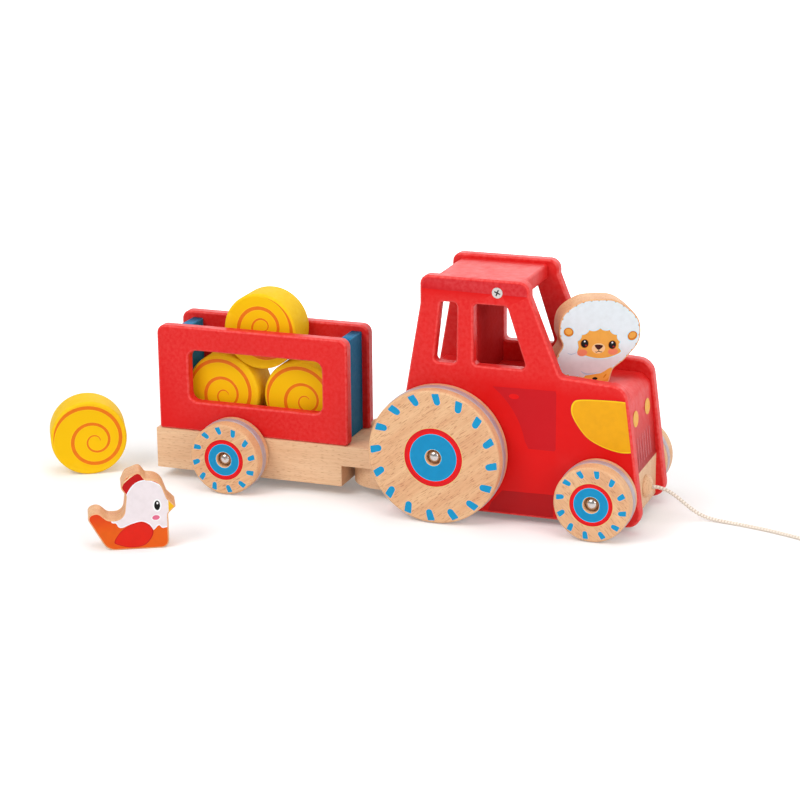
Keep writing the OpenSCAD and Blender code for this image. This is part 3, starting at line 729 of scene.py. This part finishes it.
def wheel(node, body, wood, side, count, phase, lean, tick_size, radii):
    """side is -1 for the near wheels. The mark's angles are as seen from outside, from the front."""
    lo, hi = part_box(node)
    c, r, t = (lo + hi) / 2, (hi.z - lo.z) / 2, hi.y - lo.y
    y0, y1 = -t / 2, t / 2
    inner, outer, wide_in, wide_out = (v * MM for v in tick_size)
    flat_r = r - RIM
    build = Build()
    profile = [(BORE_R, y0, 0)]
    profile += [(r - 1.2 * MM + 1.2 * MM * math.sin(math.radians(a)),
                 y0 + 1.2 * MM * (1 - math.cos(math.radians(a))), 1)
                for a in (0, 22, 45, 68, 90)]
    g0, g1, deep = GROOVE
    profile += [(r, y0 + g0, 0.6), (r - deep, y0 + g0, 0), (r - deep, y0 + g1, 0), (r, y0 + g1, 0.6)]
    profile += [(flat_r + RIM * math.cos(math.radians(a)), y1 - RIM + RIM * math.sin(math.radians(a)), 1)
                for a in (0, 18, 36, 54, 72, 90)]
    rings = turned(build, profile, SEGMENTS)
    hub = [(HUB_R + 0.35 * MM, y1, 0.6), (HUB_R + 0.1 * MM, y1 - 0.1 * MM, 1), (HUB_R, y1 - 0.35 * MM, 0.6),
           (HUB_R, y1 - HUB_DEPTH, 0), (BORE_R, y1 - HUB_DEPTH, 0), (BORE_R, y0, 0)]
    hub_rings = turned(build, hub, SEGMENTS, [1, 1, 0, 0, 0])
    cream, red, red_2, blue = (v * MM for v in radii)
    regions = [(circle(0, 0, cream), 2), (circle(0, 0, red), 3), (circle(0, 0, red_2), 4),
               (circle(0, 0, blue), 5), (circle(0, 0, blue - 0.5 * MM), 6), (circle(0, 0, HUB_R + 0.8 * MM), 5)]
    flip = side < 0
    for k in range(count):
        angle = phase + 360 * k / count
        strokes = (tick(angle, lean, inner, outer, wide_in, wide_out, 0.35 * MM),
                   tick(angle, lean, inner, outer, wide_in, wide_out))
        for stroke, slot in zip(strokes, (7, 8)):
            limit = flat_r - 0.05 * MM
            bounded = [p if math.hypot(*p) < limit else tuple(Vector(p).normalized() * limit) for p in stroke]
            regions.append(([(-x if flip else x, z) for x, z in bounded], slot))
    fill(build, [(ring_loop(flat_r, SEGMENTS), rings[-1]),
                 (ring_loop(HUB_R + 0.35 * MM, SEGMENTS), hub_rings[0])],
         lambda x, z: (x, y1, z), Vector((0, 1, 0)), regions, 0)
    place = Matrix.Translation(c) @ Matrix.Rotation(math.pi if flip else 0, 4, "Z")
    names = [wood, "halo", "ring_cream", "ring_red", "ring_red_2", "disc_line", "disc", "halo", "tick"]
    build.finish(node + "_turned", [M[k] for k in names], body, (node,), "wheel_wood", place)


def cap(node, body, side):
    """A domed steel cap on one end of an axle."""
    lo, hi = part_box(node)
    r, c = (hi.z - lo.z) / 2, (lo + hi) / 2
    deep = 4.2 * MM
    tip = hi.y if side > 0 else lo.y
    build = Build()
    profile = [(r * 0.62, 0, 0), (r, 0, 0), (r, 0.9 * MM, 0)]
    profile += [(r * math.cos(math.radians(a)), 0.9 * MM + (deep - 0.9 * MM) * math.sin(math.radians(a)), 0)
                for a in range(6, 90, 6)]
    rings = turned(build, profile, 48)
    top = build.point((0, deep, 0))
    up = Vector((0, 1, 0))
    last = rings[-1]
    for k in range(48):
        build.face([last[k], last[(k + 1) % 48], top], [up, up, up])
    place = Matrix.Translation(Vector((c.x, tip - side * deep, c.z)))
    if side < 0:
        place = place @ Matrix.Rotation(math.pi, 4, "Z")
    hand = "left" if side > 0 else "right"
    return build.finish(f"{node}_{hand}", [M["steel"]], body, (node,), "bright_steel", place)


REAR = dict(wood="wheel_a", count=16, phase=20.9, lean=3.8, tick_size=(35.4, 43.2, 4.4, 5.0),
            radii=(20.1, 19.6, 17.4, 15.9))
FRONT = dict(wood="wheel_b", count=12, phase=22.1, lean=4.5, tick_size=(18.0, 23.2, 3.1, 3.6),
             radii=(14.6, 14.1, 12.6, 11.4))
TRAILER = dict(wood="wheel_c", count=12, phase=11.0, lean=4.5, tick_size=(17.6, 23.0, 3.2, 3.6),
               radii=(14.5, 14.1, 12.4, 11.1))
for end, spec in (("rear", REAR), ("front", FRONT), ("trailer", TRAILER)):
    for hand, side in (("right", -1), ("left", 1)):
        wheel(f"{end}_wheel_{hand}", f"{end}_wheel_{hand}", side=side, **spec)
        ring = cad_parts[f"{end}_ring_{hand}"]
        ring.data.materials.clear()
        ring.data.materials.append(M["rubber"])
        cap(f"{end}_axle_caps", "trailer" if end == "trailer" else "tractor", side)


# ---- Tractor -----------------------------------------------------------------------------------

TRACTOR = Vector(((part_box("rear_wheel_right")[0].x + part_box("rear_wheel_right")[1].x) / 2,
                  (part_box("chassis_board")[0].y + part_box("chassis_board")[1].y) / 2, 0))


def on_tractor(points):
    return [(TRACTOR.x + x * MM, z * MM) for x, z in points]


def scaled(loop, share):
    """A loop drawn smaller or larger about the middle of its own box."""
    middle = Vector([(min(v) + max(v)) / 2 for v in zip(*loop)])
    return [tuple(middle + (Vector(p) - middle) * share) for p in loop]


def hood_marks():
    """The printed marks on a hood side: roof band, shaded wing behind the wheel arch, skirt and lamp."""
    arch_r, axle_z = 56.5, 45
    sweep = [math.radians(a) for a in range(11, 55, 3)]
    arch = [(arch_r * math.cos(a), axle_z + arch_r * math.sin(a)) for a in sweep]
    wing = [(75.5, 91), (76, 89), (76, 52), (75, 51), (58, 51)] + arch + [(34, 90.5)]
    lamp = smooth([(92, 87), (108, 88), (121, 88), (122.5, 86.5), (124.5, 71), (126.5, 56), (125.5, 55), (118, 54.5),
                   (107, 57), (97, 62), (90, 70), (86, 78), (87, 84.5)], 6)
    band = [(-22, 151.5), (60, 150.5), (60, 162), (-22, 162)]
    skirt = [(40.5, 21), (75, 21.5), (75, 4), (30, 4), (33, 12)]
    marks = [(band, 2), (wing, 1), (ellipse(48, 85, 3.4, 1.7), 5), (skirt, 3),
             (scaled(lamp, 1.035), 6), (lamp, 7), (scaled(lamp, 0.955), 4)]
    return [(on_tractor(p), slot) for p, slot in marks]


def side_panel(hand, side):
    node = f"side_panel_{hand}"
    lo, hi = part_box(node)
    loops = face_loops(node, 1, side > 0)
    low, high = (lo.y, hi.y) if side > 0 else (-hi.y, -lo.y)
    slots = ["red", "red_shade", "red_band", "red_skirt", "lamp", "red_bright", "red_line", "lamp_line",
             "red_shaded_inner"]
    build = board(loops, low, high, 1.6 * MM, lambda x, z, h: (x, side * h, z), front=hood_marks(),
                  side_slot=0)
    build.finish(f"hood_side_{hand}", [M[k] for k in slots], "tractor", (node,), "red_paint")


for hand, side in (("right", -1), ("left", 1)):
    side_panel(hand, side)


def plain_board(node, name, axis, radius, material, body, slot):
    """A CAD board again with rounded edges: its outline is the face across an axis."""
    lo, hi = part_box(node)
    loops = face_loops(node, axis, True)
    if axis == 1:
        def lift(x, z, h):
            return (x, h, z)
    elif axis == 0:
        def lift(y, z, h):
            return (h, y, z)
    else:
        def lift(x, y, h):
            return (x, y, h)
    build = board(loops, lo[axis], hi[axis], radius, lift)
    return build.finish(name, [M[material]], body, (node,), slot)


plain_board("body_block", "hood_block", 1, 0.7 * MM, "red", "tractor", "red_paint")
plain_board("roof_board", "cab_roof", 1, 0.9 * MM, "red", "tractor", "red_paint")
# The cab's back board takes the darker red copy, which is painted shade.
plain_board("cab_bulkhead", "cab_back_board", 1, 0.5 * MM, "red_shaded_inner", "tractor", "red_paint")


def softened(node, name, width, material, body):
    """A CAD solid again with its sharp edges rounded, and flat faces kept flat."""
    import bmesh
    bm = bmesh.new()
    bm.from_mesh(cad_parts[node].data)
    bmesh.ops.remove_doubles(bm, verts=bm.verts, dist=1e-6)
    bmesh.ops.dissolve_limit(bm, angle_limit=math.radians(1), verts=bm.verts, edges=bm.edges)
    keen = [e for e in bm.edges if len(e.link_faces) == 2 and e.calc_face_angle(0) > math.radians(50)]
    bmesh.ops.bevel(bm, geom=keen, offset=width, offset_type="OFFSET", segments=3, profile=0.5,
                    affect="EDGES", clamp_overlap=True)
    bmesh.ops.triangulate(bm, faces=[f for f in bm.faces if len(f.verts) > 4])
    mesh = bpy.data.meshes.new(name)
    bm.normal_update()
    normals, edge = [], [0.0] * len(bm.verts)
    bm.verts.index_update()
    small = width * width * 30
    for f in bm.faces:
        f.smooth = True
        for v in f.verts:
            total = Vector()
            for g in v.link_faces:
                if g.normal.dot(f.normal) > 0.7:
                    total += g.normal * g.calc_area()
            normals.append(total.normalized())
            # Small bevel faces get a high edge value, so they carry the painted highlight.
            if f.calc_area() < small:
                edge[v.index] = 0.8
    bm.to_mesh(mesh)
    bm.free()
    mesh.materials.append(M[material])
    mesh.attributes.new("edge", "FLOAT", "POINT").data.foreach_set("value", edge)
    mesh.normals_split_custom_set([tuple(n) for n in normals])
    o = bpy.data.objects.new(name, mesh)
    scene.collection.objects.link(o)
    return own(o, body, (node,))


softened("chassis_board", "chassis_plank", 0.8 * MM, "chassis", "tractor")
softened("trailer_deck", "trailer_plank", 0.8 * MM, "deck", "trailer")


def spun(node, name, profile, axis, material, body, slot, segments=64):
    """A turned piece in a CAD node's place. profile is [(radius, height, edge)] from the node's low end."""
    lo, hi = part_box(node)
    c = (lo + hi) / 2
    build = Build()
    rings = turned(build, [(r * MM, h * MM, e) for r, h, e in profile], segments)
    for ring, h, s in ((rings[0], profile[0][1], -1), (rings[-1], profile[-1][1], 1)):
        if profile[0 if s < 0 else -1][0] < 1.5:
            pole = build.point((0, h * MM, 0))
            for k in range(segments):
                build.face([ring[k], ring[(k + 1) % segments], pole], [Vector((0, s, 0))] * 3)
    if axis == "Z":
        place = Matrix.Translation((c.x, c.y, lo.z)) @ Matrix.Rotation(math.pi / 2, 4, "X")
    else:
        place = Matrix.Translation((lo.x, c.y, c.z)) @ Matrix.Rotation(-math.pi / 2, 4, "Z")
    return build.finish(name, [M[material]], body, (node,), slot, place)


def arc(cr, ch, r, a0, a1, step=10):
    n = max(1, round(abs(a1 - a0) / step))
    angles = [math.radians(a0 + (a1 - a0) * k / n) for k in range(n + 1)]
    return [(cr + r * math.cos(a), ch + r * math.sin(a), 0.6) for a in angles]


PEG_H = (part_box("hitch_peg")[1].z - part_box("hitch_peg")[0].z) / MM
spun("hitch_peg", "hitch_peg_turned",
     [(1, 0, 0), (4.6, 0, 0), (5, 0.4, 0)] + arc(2.4, PEG_H - 2.6, 2.6, 0, 84) + [(0.5, PEG_H, 0)],
     "Z", "turned", "tractor", "beech_turned")
spun("cord_button", "cord_button_turned",
     [(1.32, 0, 0), (4, 0, 0), (4, 10, 0), (7.2, 10, 0.5), (7.5, 10.4, 0.8)]
     + [(7.5 * math.cos(math.radians(a)), 10.2 + 4.8 * math.sin(math.radians(a)), 0.4) for a in range(8, 74, 6)]
     + [(1.9, 15, 0.4), (1.45, 14.7, 0.4), (1.32, 14, 0)], "X", "turned", "tractor", "beech_turned")


def screws():
    """Cross-head screws: a bright slightly domed head, and darker steel in the recess as painted shade."""
    lo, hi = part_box("roof_screws")
    for hand, side in (("right", -1), ("left", 1)):
        build = Build()
        r = (hi.z - lo.z) / 2
        build_y = (hi.y if side > 0 else lo.y)
        profile = [(1.6 * MM, -20 * MM, 0), (1.6 * MM, -2.2 * MM, 0), (r - 0.12 * MM, -0.5 * MM, 0),
                   (r, -0.25 * MM, 0), (r - 0.1 * MM, -0.02 * MM, 0), (r - 0.35 * MM, 0, 0)]
        rings = turned(build, profile, 64)
        arm, half = 2.1 * MM, 0.42 * MM
        cross = [(arm, -half), (arm, half), (half, half), (half, arm), (-half, arm), (-half, half), (-arm, half),
                 (-arm, -half), (-half, -half), (-half, -arm), (half, -arm), (half, -half)]
        turn = math.radians(22)
        cos, sin = math.cos(turn), math.sin(turn)
        cross = [(x * cos - z * sin, x * sin + z * cos) for x, z in cross]
        top = [build.point((x, 0, z)) for x, z in cross]
        deep = [build.point((x * 0.55, -1.2 * MM, z * 0.55)) for x, z in cross]
        up = Vector((0, 1, 0))
        fill(build, [(ring_loop(profile[-1][0], 64), rings[-1]), (cross, top)],
             lambda x, z: (x, 0, z), up, [], 0)
        for k in range(12):
            j = (k + 1) % 12
            edge = Vector((cross[j][0] - cross[k][0], 0, cross[j][1] - cross[k][1])).normalized()
            wall = Vector((-edge.z, 0.4, edge.x)).normalized()
            # The recess walls and floor take the darker steel, painted shade.
            build.face([top[k], top[j], deep[j], deep[k]], [wall] * 4, 1)
        build.face(deep, [up] * 12, 1)
        place = Matrix.Translation(((lo.x + hi.x) / 2, build_y, (lo.z + hi.z) / 2))
        if side < 0:
            place = place @ Matrix.Rotation(math.pi, 4, "Z")
        build.finish(f"roof_screw_{hand}", [M["steel"], M["dark"]], "tractor", ("roof_screws",),
                     "bright_steel", place)


screws()


def nose_marks():
    """Printed lamps and grille on the nose: thin printed patches a hair above its slanting face."""
    lo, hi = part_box("body_block")
    slant = 0.105
    lean = Vector((-slant, 0, 1)).normalized()
    out = Vector((1, 0, slant)).normalized()
    foot = Vector((hi.x, TRACTOR.y, lo.z)) + out * 0.05 * MM
    z0 = lo.z / MM

    def patch(name, loop, material):
        build = Build()
        normal = Vector((0, 1, 0))
        ids = [build.point((y * MM, 0, t * MM)) for y, t in loop]
        fill(build, [([(y * MM, t * MM) for y, t in loop], ids)], lambda y, t: (y, 0, t), normal, [], 0)
        back = [build.point((y * MM, -0.04 * MM, t * MM)) for y, t in loop]
        for k in range(len(ids)):
            j = (k + 1) % len(ids)
            e = Vector((loop[j][0] - loop[k][0], 0, loop[j][1] - loop[k][1])).normalized()
            build.face([ids[k], ids[j], back[j], back[k]], [Vector((e.z, 0, -e.x))] * 4)
        axes = Matrix((Vector((0, -1, 0)), out, lean)).transposed().to_4x4()
        build.finish(name, [M[material]], "tractor", (), "red_paint",
                     Matrix.Translation(foot + out * {"lamp": 0.2}.get(material, 0.12) * MM) @ axes)

    for k, y in enumerate((-15, 15)):
        patch(f"nose_lamp_{k}", ellipse(y, 71 - z0, 6.4, 5.2), "lamp")
    for k in range(6):
        y = -15 + 6 * k
        low, high = 40 - z0, 58 - z0
        patch(f"nose_grille_{k}", [(y - 0.5, low), (y + 0.5, low), (y + 0.5, high), (y - 0.5, high)], "grille")


nose_marks()


# ---- Trailer -----------------------------------------------------------------------------------

for hand, side in (("right", -1), ("left", 1)):
    node = f"trailer_panel_{hand}"
    lo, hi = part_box(node)
    low, high = (lo.y, hi.y) if side > 0 else (-hi.y, -lo.y)
    build = board(face_loops(node, 1, side > 0), low, high, 1.6 * MM,
                  lambda x, z, h, side=side: (x, side * h, z))
    build.finish(f"trailer_side_{hand}", [M["red"]], "trailer", (node,), "red_paint")
plain_board("trailer_front_board", "trailer_end_front", 0, 0.9 * MM, "blue", "trailer", "blue_paint")
plain_board("trailer_rear_board", "trailer_end_rear", 0, 0.9 * MM, "blue", "trailer", "blue_paint")


# ---- Bales -------------------------------------------------------------------------------------

def swirl(cx, cy, end, width, grow=0.0):
    """A spiral stroke as one outline: thin at its eye, fuller in the middle, and running out over the rim."""
    left, right = [], []
    turns, r0, r1 = 2.62, 2.6, 27.5
    n = int(turns * 44)
    for k in range(n + 1):
        t = k / n
        a = math.radians(end - 360 * turns * (1 - t))
        share = 0.62 * t + 0.38 * t * t
        r = r0 + (r1 - r0) * share
        d = Vector((math.cos(a), math.sin(a)))
        at = Vector((cx, cy)) * (1 - share ** 1.3) + d * r
        w = width * min(1.0, 0.25 + 1.3 * t) / 2 + grow
        if k == 0:
            w *= 0.3
        left.append(tuple(at + d * w))
        right.append(tuple(at - d * w))
    return left + right[::-1]


def bale(node, turn, spiral):
    lo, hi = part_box(node)
    c = (lo + hi) / 2
    r, t = (hi.z - lo.z) / 2, 25 * MM
    y0, y1 = -t / 2, t / 2
    rim = 1.6 * MM
    n = 128
    build = Build()
    profile = [(r - rim + rim * math.sin(math.radians(a)), y0 + rim * (1 - math.cos(math.radians(a))), 1)
               for a in range(0, 91, 15)]
    profile += [(r - rim + rim * math.cos(math.radians(a)), y1 - rim * (1 - math.sin(math.radians(a))), 1)
                for a in range(0, 91, 15)]
    k = len(profile) // 2
    rings = turned(build, profile, n, [1] * (len(profile) - 1))
    for ring, y, s in ((rings[0], y0, -1), (rings[-1], y1, 1)):
        marks = []
        for grow, slot in ((0.35, 2), (0.0, 3)):
            loop = swirl(*spiral, grow)
            limit = (r - rim) / MM - 0.1
            loop = [p if math.hypot(*p) < limit else tuple(Vector(p).normalized() * limit) for p in loop]
            marks.append(([(-s * x * MM, z * MM) for x, z in loop], slot))
        fill(build, [(ring_loop(r - rim, n), ring)], lambda x, z, y=y: (x, y, z), Vector((0, s, 0)), marks, 0)
    place = Matrix.Translation(c) @ Matrix.Rotation(math.radians(turn), 4, "Z")
    build.finish(node + "_painted", [M[k] for k in ("straw", "straw_side", "swirl_line", "swirl")], node, (node,),
                 "yellow_paint", place)


# Each spiral: its eye on the face (x, z), the angle at which it runs out, and its stroke's width
bale("bale_loose", 30, (5.0, -2.4, 232, 2.6))
bale("bale_rear", 0, (1.6, -3.3, 246, 2.6))
bale("bale_front", 0, (4.6, -1.8, 262, 2.6))
bale("bale_top", 0, (2.4, 3.5, 150, 2.6))


# ---- Sheep and hen -----------------------------------------------------------------------------

def scallops(tips, bulge):
    """A closed line through the tips, with an arc between each two that bulges to its left."""
    out = []
    for a, b in zip(tips, tips[1:] + tips[:1]):
        a, b = Vector(a), Vector(b)
        side = Vector((-(b - a).y, (b - a).x))
        for k in range(8):
            t = k / 8
            out.append(tuple(a.lerp(b, t) + side * bulge * 4 * t * (1 - t)))
    return out


def curly(loop, pitch, bulge):
    """A loop (counterclockwise) redrawn as a row of small outward curls."""
    length, marks, last = 0.0, [loop[0]], Vector(loop[0])
    for p in loop[1:]:
        length += (Vector(p) - last).length
        last = Vector(p)
        if length >= pitch:
            marks.append(p)
            length = 0.0
    return scallops(marks, -bulge / pitch)


def grown(points, amount):
    loop = points if area(points) > 0 else points[::-1]
    return moved(loop, -amount)


def eased(loop, step=0.8, width=3.2):
    """A cut outline with its small corners sanded round, kept just inside the first one."""
    points = [Vector(p) / MM for p in loop]
    walk = []
    for a, b in zip(points, points[1:] + points[:1]):
        n = max(1, round((b - a).length / step))
        walk += [a.lerp(b, k / n) for k in range(n)]
    reach = round(3 * width / step)
    weights = [math.exp(-0.5 * (k * step / width) ** 2) for k in range(-reach, reach + 1)]
    total = sum(weights)
    out = []
    for i in range(len(walk)):
        near = [walk[(i + k) % len(walk)] * w for k, w in zip(range(-reach, reach + 1), weights)]
        p = sum(near, Vector((0, 0))) / total
        if walk[i].y < 3:
            p = p.lerp(walk[i], min(1, (3 - walk[i].y) / 2))
        out.append(p)
    return [tuple(p * MM) for p in out[::2]]


def figure(node, name, at, turn, radius, marks, slots, soft=False):
    """A figure cut from board and printed on both faces. marks are in millimetres, x to the right from the front."""
    place = Matrix.Translation(at) @ Matrix.Rotation(math.radians(turn), 4, "Z")
    outline = face_loops(node, 1, False, place)
    if soft:
        outline = [eased(loop) for loop in outline]
    t = 18 * MM
    body = [(x / MM, z / MM) for x, z in outline[0]]
    regions = [([(x * MM, z * MM) for x, z in loop], slot) for loop, slot in marks(body)]
    build = board(outline, -t / 2, t / 2, radius, lambda x, z, h: (x, -h, z), front=regions, back=regions,
                  side_slot=0, face_slot=1)
    build.finish(name, [M[k] for k in slots], node, (node,), f"{node}_print", place)


def counterclockwise(loop):
    return loop if area(loop) > 0 else loop[::-1]


def sheep_wool(outline):
    """The fleece: curls just inside the board's edge, down to a slanting hem above the feet."""
    wool = curly(moved(counterclockwise(outline), 2.2), 4.6, 1.5)
    hem = [5.6 + 0.12 * (x + 9) if x > -9 else 0 for x, z in wool]
    return [(x, max(z, low)) for (x, z), low in zip(wool, hem)]


def sheep_face():
    """An oval brow with seven curls of wool over it, and a flat curved chin."""
    brow = [(0.6 + 14 * math.cos(math.radians(a)), 26 + 10.2 * math.sin(math.radians(a)))
            for a in (168, 142, 116, 86, 60, 32, 4, -16)]
    curls = scallops(brow, -0.16)[:8 * (len(brow) - 1)]
    chin = smooth([(13.5, 23), (15, 20), (8, 17), (0, 16.5), (-8, 18.5), (-13.5, 21)], 4, closed=False)
    return curls + chin + [(-12.5, 24)]


def sheep_marks(outline):
    wool, face = sheep_wool(outline), sheep_face()
    parts = [(grown(wool, 0.45), 3), (wool, 2), (grown(face, 0.55), 3), (face, 4)]
    parts += [(ellipse(x, 20.5, 3.3, 2.3), 6) for x in (-10, 10)]
    parts.append((ellipse(0.5, 23, 4.3, 3.4), 5))
    for x, z in ((-8.5, 26.5), (9.5, 25)):
        parts += [(ellipse(x, z, 2.8, 3), 7),
                  (ellipse(x, z, 2.4, 2.7), 8),
                  (ellipse(x, z + 1.4, 0.55, 0.55, 14), 9),
                  (ellipse(x + 0.8, z - 1.2, 0.6, 0.5, 14), 10)]
    nose = smooth([(-2, 25), (0.5, 25.5), (3.5, 24.5), (0.5, 22)], 5)
    mouth = smooth([(0.5, 22.5), (1, 22.5), (1, 21.4), (2.4, 20.7), (3, 21.2), (2.5, 20.2), (0.75, 20.8), (-1, 20.2),
                    (-1.5, 21.2), (-0.9, 20.7), (0.5, 21.4)], 3)
    parts += [(nose, 11), (mouth, 11)]
    for x, z, lean in ((-19, 34.5, -28), (22.5, 30.5, 38)):
        parts += [(ellipse(x, z, 3.9, 3.5, turn=lean), 3),
                  (ellipse(x, z, 3.3, 2.9, turn=lean), 7),
                  (ellipse(x, z + 0.3, 2.3, 1.9, turn=lean), 4)]
    feet = smooth([(-9.5, 4), (2, 6.5), (7.5, 9.5), (9.5, 9.5), (8, 4.5), (4, 1.5), (-6, 1.5)], 5)
    parts += [(feet, 4), (ellipse(-1.5, 3, 1.7, 1), 8), (ellipse(5, 4.5, 1.6, 0.5, turn=52), 7)]
    low_curl = [(-11, 8.5), (-8, 6), (-4, 6), (0, 7), (-4, 6.5), (-8, 7)]
    side_curl = [(-20, 21), (-17, 19.5), (-13, 21), (-17, 20)]
    parts += [(smooth(curl, 4), 12) for curl in (low_curl, side_curl)]
    return parts


def hen_marks(outline):
    dome = smooth([(24.5, 14.5), (24.5, 24), (24, 32), (22, 37.5), (19, 42), (11, 45.5), (3.5, 43.5), (-2, 36),
                   (-3.5, 28), (-7, 22.5), (-12.5, 21.5)], 5, closed=False)
    feathers = smooth([(-12.5, 21.5), (-11.5, 18.5), (-9, 18), (-7.5, 15.5), (-5, 15), (0, 17), (7, 18.5), (12, 16),
                       (14, 12.5), (17.5, 15.5), (20, 13.5), (24.5, 14.5)], 4, closed=False)
    head = counterclockwise(dome + feathers)
    comb = smooth([(-4.5, 38), (-4, 43), (4, 49.5), (8.5, 49.5), (11, 45), (4, 41.5), (-2, 34.5)], 5)
    wing = smooth([(-10.5, 6), (-5, 13.5), (5, 18), (12, 15.5), (14, 10), (9, 3), (0, 1.5), (-8, 3.5)], 6)
    parts = [(moved(counterclockwise(outline), 0.9), 2),
             (grown(comb, 0.7), 9), (comb, 5),
             (grown(head, 0.15), 4), (moved(head, 0.6), 3),
             (wing, 6), (scaled(wing, 0.94), 7),
             ([(24, 32), (29.5, 27.5), (24, 21.5)], 8)]
    parts += [(ellipse(17, 28.5, 2.7, 4.2), 10), (ellipse(17, 28.5, 1.85, 3.2), 11),
              (ellipse(17.2, 30, 0.6, 0.75, 16), 10),
              (ellipse(16, 20.5, 3, 2.1, turn=6), 10), (ellipse(16, 20.5, 2.35, 1.6, turn=6), 12)]
    return parts


figure("sheep", "sheep_figure", Vector((170.4, 59, 90.0)) * MM, 27, 0.9 * MM, sheep_marks,
       ["figure", "fleece_edge", "wool", "wool_line", "tan", "tan_light", "pink", "tan_dark", "black", "white",
        "comb", "brown", "wool_curl"], soft=True)
figure("hen", "hen_figure", Vector((-88.3, -96.4, 0)) * MM, 28, 0.9 * MM, hen_marks,
       ["figure", "hen_edge", "hen_body", "hen_head", "hen_line", "comb", "hen_wing_edge", "hen_wing", "beak",
        "cream", "white", "black", "rose"])


# ---- CAD nodes that show as they are -----------------------------------------------------------

PLAIN = {"rear_axle": "steel", "front_axle": "steel", "trailer_axle": "steel", "cord_knot": "cotton",
         "panel_dowels": "turned", "trailer_dowels": "turned"}
for node, material in PLAIN.items():
    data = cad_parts[node].data
    data.materials.clear()
    data.materials.append(M[material])


# ---- Floor, backdrop and light -----------------------------------------------------------------

def make_stage():
    n = Nodes("floor_paper")
    n.set(Roughness=0.9, Specular_IOR_Level=0.1)
    soft = n.noise(n.coords(), 40, 3)
    n.colour(n.mix(n.span(soft, 0.3, 0.7), (0.85, 0.85, 0.85, 1), (0.88, 0.88, 0.88, 1)))
    path = n.new("ShaderNodeLightPath")
    kinds = [n.new("ShaderNodeMath", operation="MAXIMUM") for _ in range(2)]
    n.link(path.outputs["Is Camera Ray"], kinds[0].inputs[0])
    n.link(path.outputs["Is Glossy Ray"], kinds[0].inputs[1])
    n.link(kinds[0].outputs[0], kinds[1].inputs[0])
    n.link(path.outputs["Is Transmission Ray"], kinds[1].inputs[1])
    where = n.new("ShaderNodeTexCoord")
    apart = n.new("ShaderNodeSeparateXYZ")
    n.link(where.outputs["Object"], apart.inputs[0])
    glow = n.times(kinds[1].outputs[0], n.span(apart.outputs[1], 0.1, 0.7, 0.16, 1.0))
    shader = n.mat.node_tree.nodes["Principled BSDF"]
    shader.inputs["Emission Color"].default_value = (1, 1, 1, 1)
    n.link(glow, shader.inputs["Emission Strength"])
    build = Build()
    size = 6.0
    depth, rise, bend = 2.2, 3.0, 0.8
    line = [(-4.0, 0.0), (depth, 0.0)]
    curve = [math.radians(a) for a in range(6, 91, 6)]
    line += [(depth + bend * math.sin(a), bend * (1 - math.cos(a))) for a in curve]
    line += [(depth + bend, rise)]
    rows = []
    for k, (y, z) in enumerate(line):
        before, after = Vector(line[max(k - 1, 0)]), Vector(line[min(k + 1, len(line) - 1)])
        way = (after - before).normalized()
        rows.append(([build.point((x, y, z)) for x in (-size, size)], Vector((0, -way.y, way.x))))
    for (a, na), (b, nb) in zip(rows, rows[1:]):
        build.face([a[0], a[1], b[1], b[0]], [na, na, nb, nb])
    mesh = bpy.data.meshes.new("floor_and_backdrop")
    mesh.from_pydata(build.points, [], build.faces)
    mesh.materials.append(n.mat)
    mesh.polygons.foreach_set("use_smooth", [True] * len(build.faces))
    o = bpy.data.objects.new("floor_and_backdrop", mesh)
    scene.collection.objects.link(o)


def area_light(name, at, to, size, power, spread=180):
    data = bpy.data.lights.new(name, "AREA")
    data.shape = "RECTANGLE"
    data.size, data.size_y = size
    data.energy = power
    data.spread = math.radians(spread)
    o = bpy.data.objects.new(name, data)
    o.location = at
    o.rotation_mode = "QUATERNION"
    o.rotation_quaternion = (Vector(to) - Vector(at)).to_track_quat("-Z", "Y")
    scene.collection.objects.link(o)


def make_light():
    world = bpy.data.worlds.new("studio")
    scene.world = world
    world.use_nodes = True
    t = world.node_tree
    background = t.nodes["Background"]
    background.inputs["Strength"].default_value = 0.4
    background.inputs["Color"].default_value = (1, 1, 1, 1)
    area_light("key", (-0.9, -1.5, 1.7), (0.05, 0, 0.06), (1.3, 1.0), 26)
    area_light("fill", (1.6, -0.9, 0.9), (0.05, 0, 0.06), (1.0, 1.2), 15)
    area_light("back", (0.1, 2.0, 0.85), (0.05, 0, 0.08), (2.4, 0.7), 8)
    area_light("top", (0.1, 0.2, 1.9), (0.05, 0, 0.05), (1.6, 1.4), 12)


make_stage()
make_light()
scene.view_settings.view_transform = "Standard"
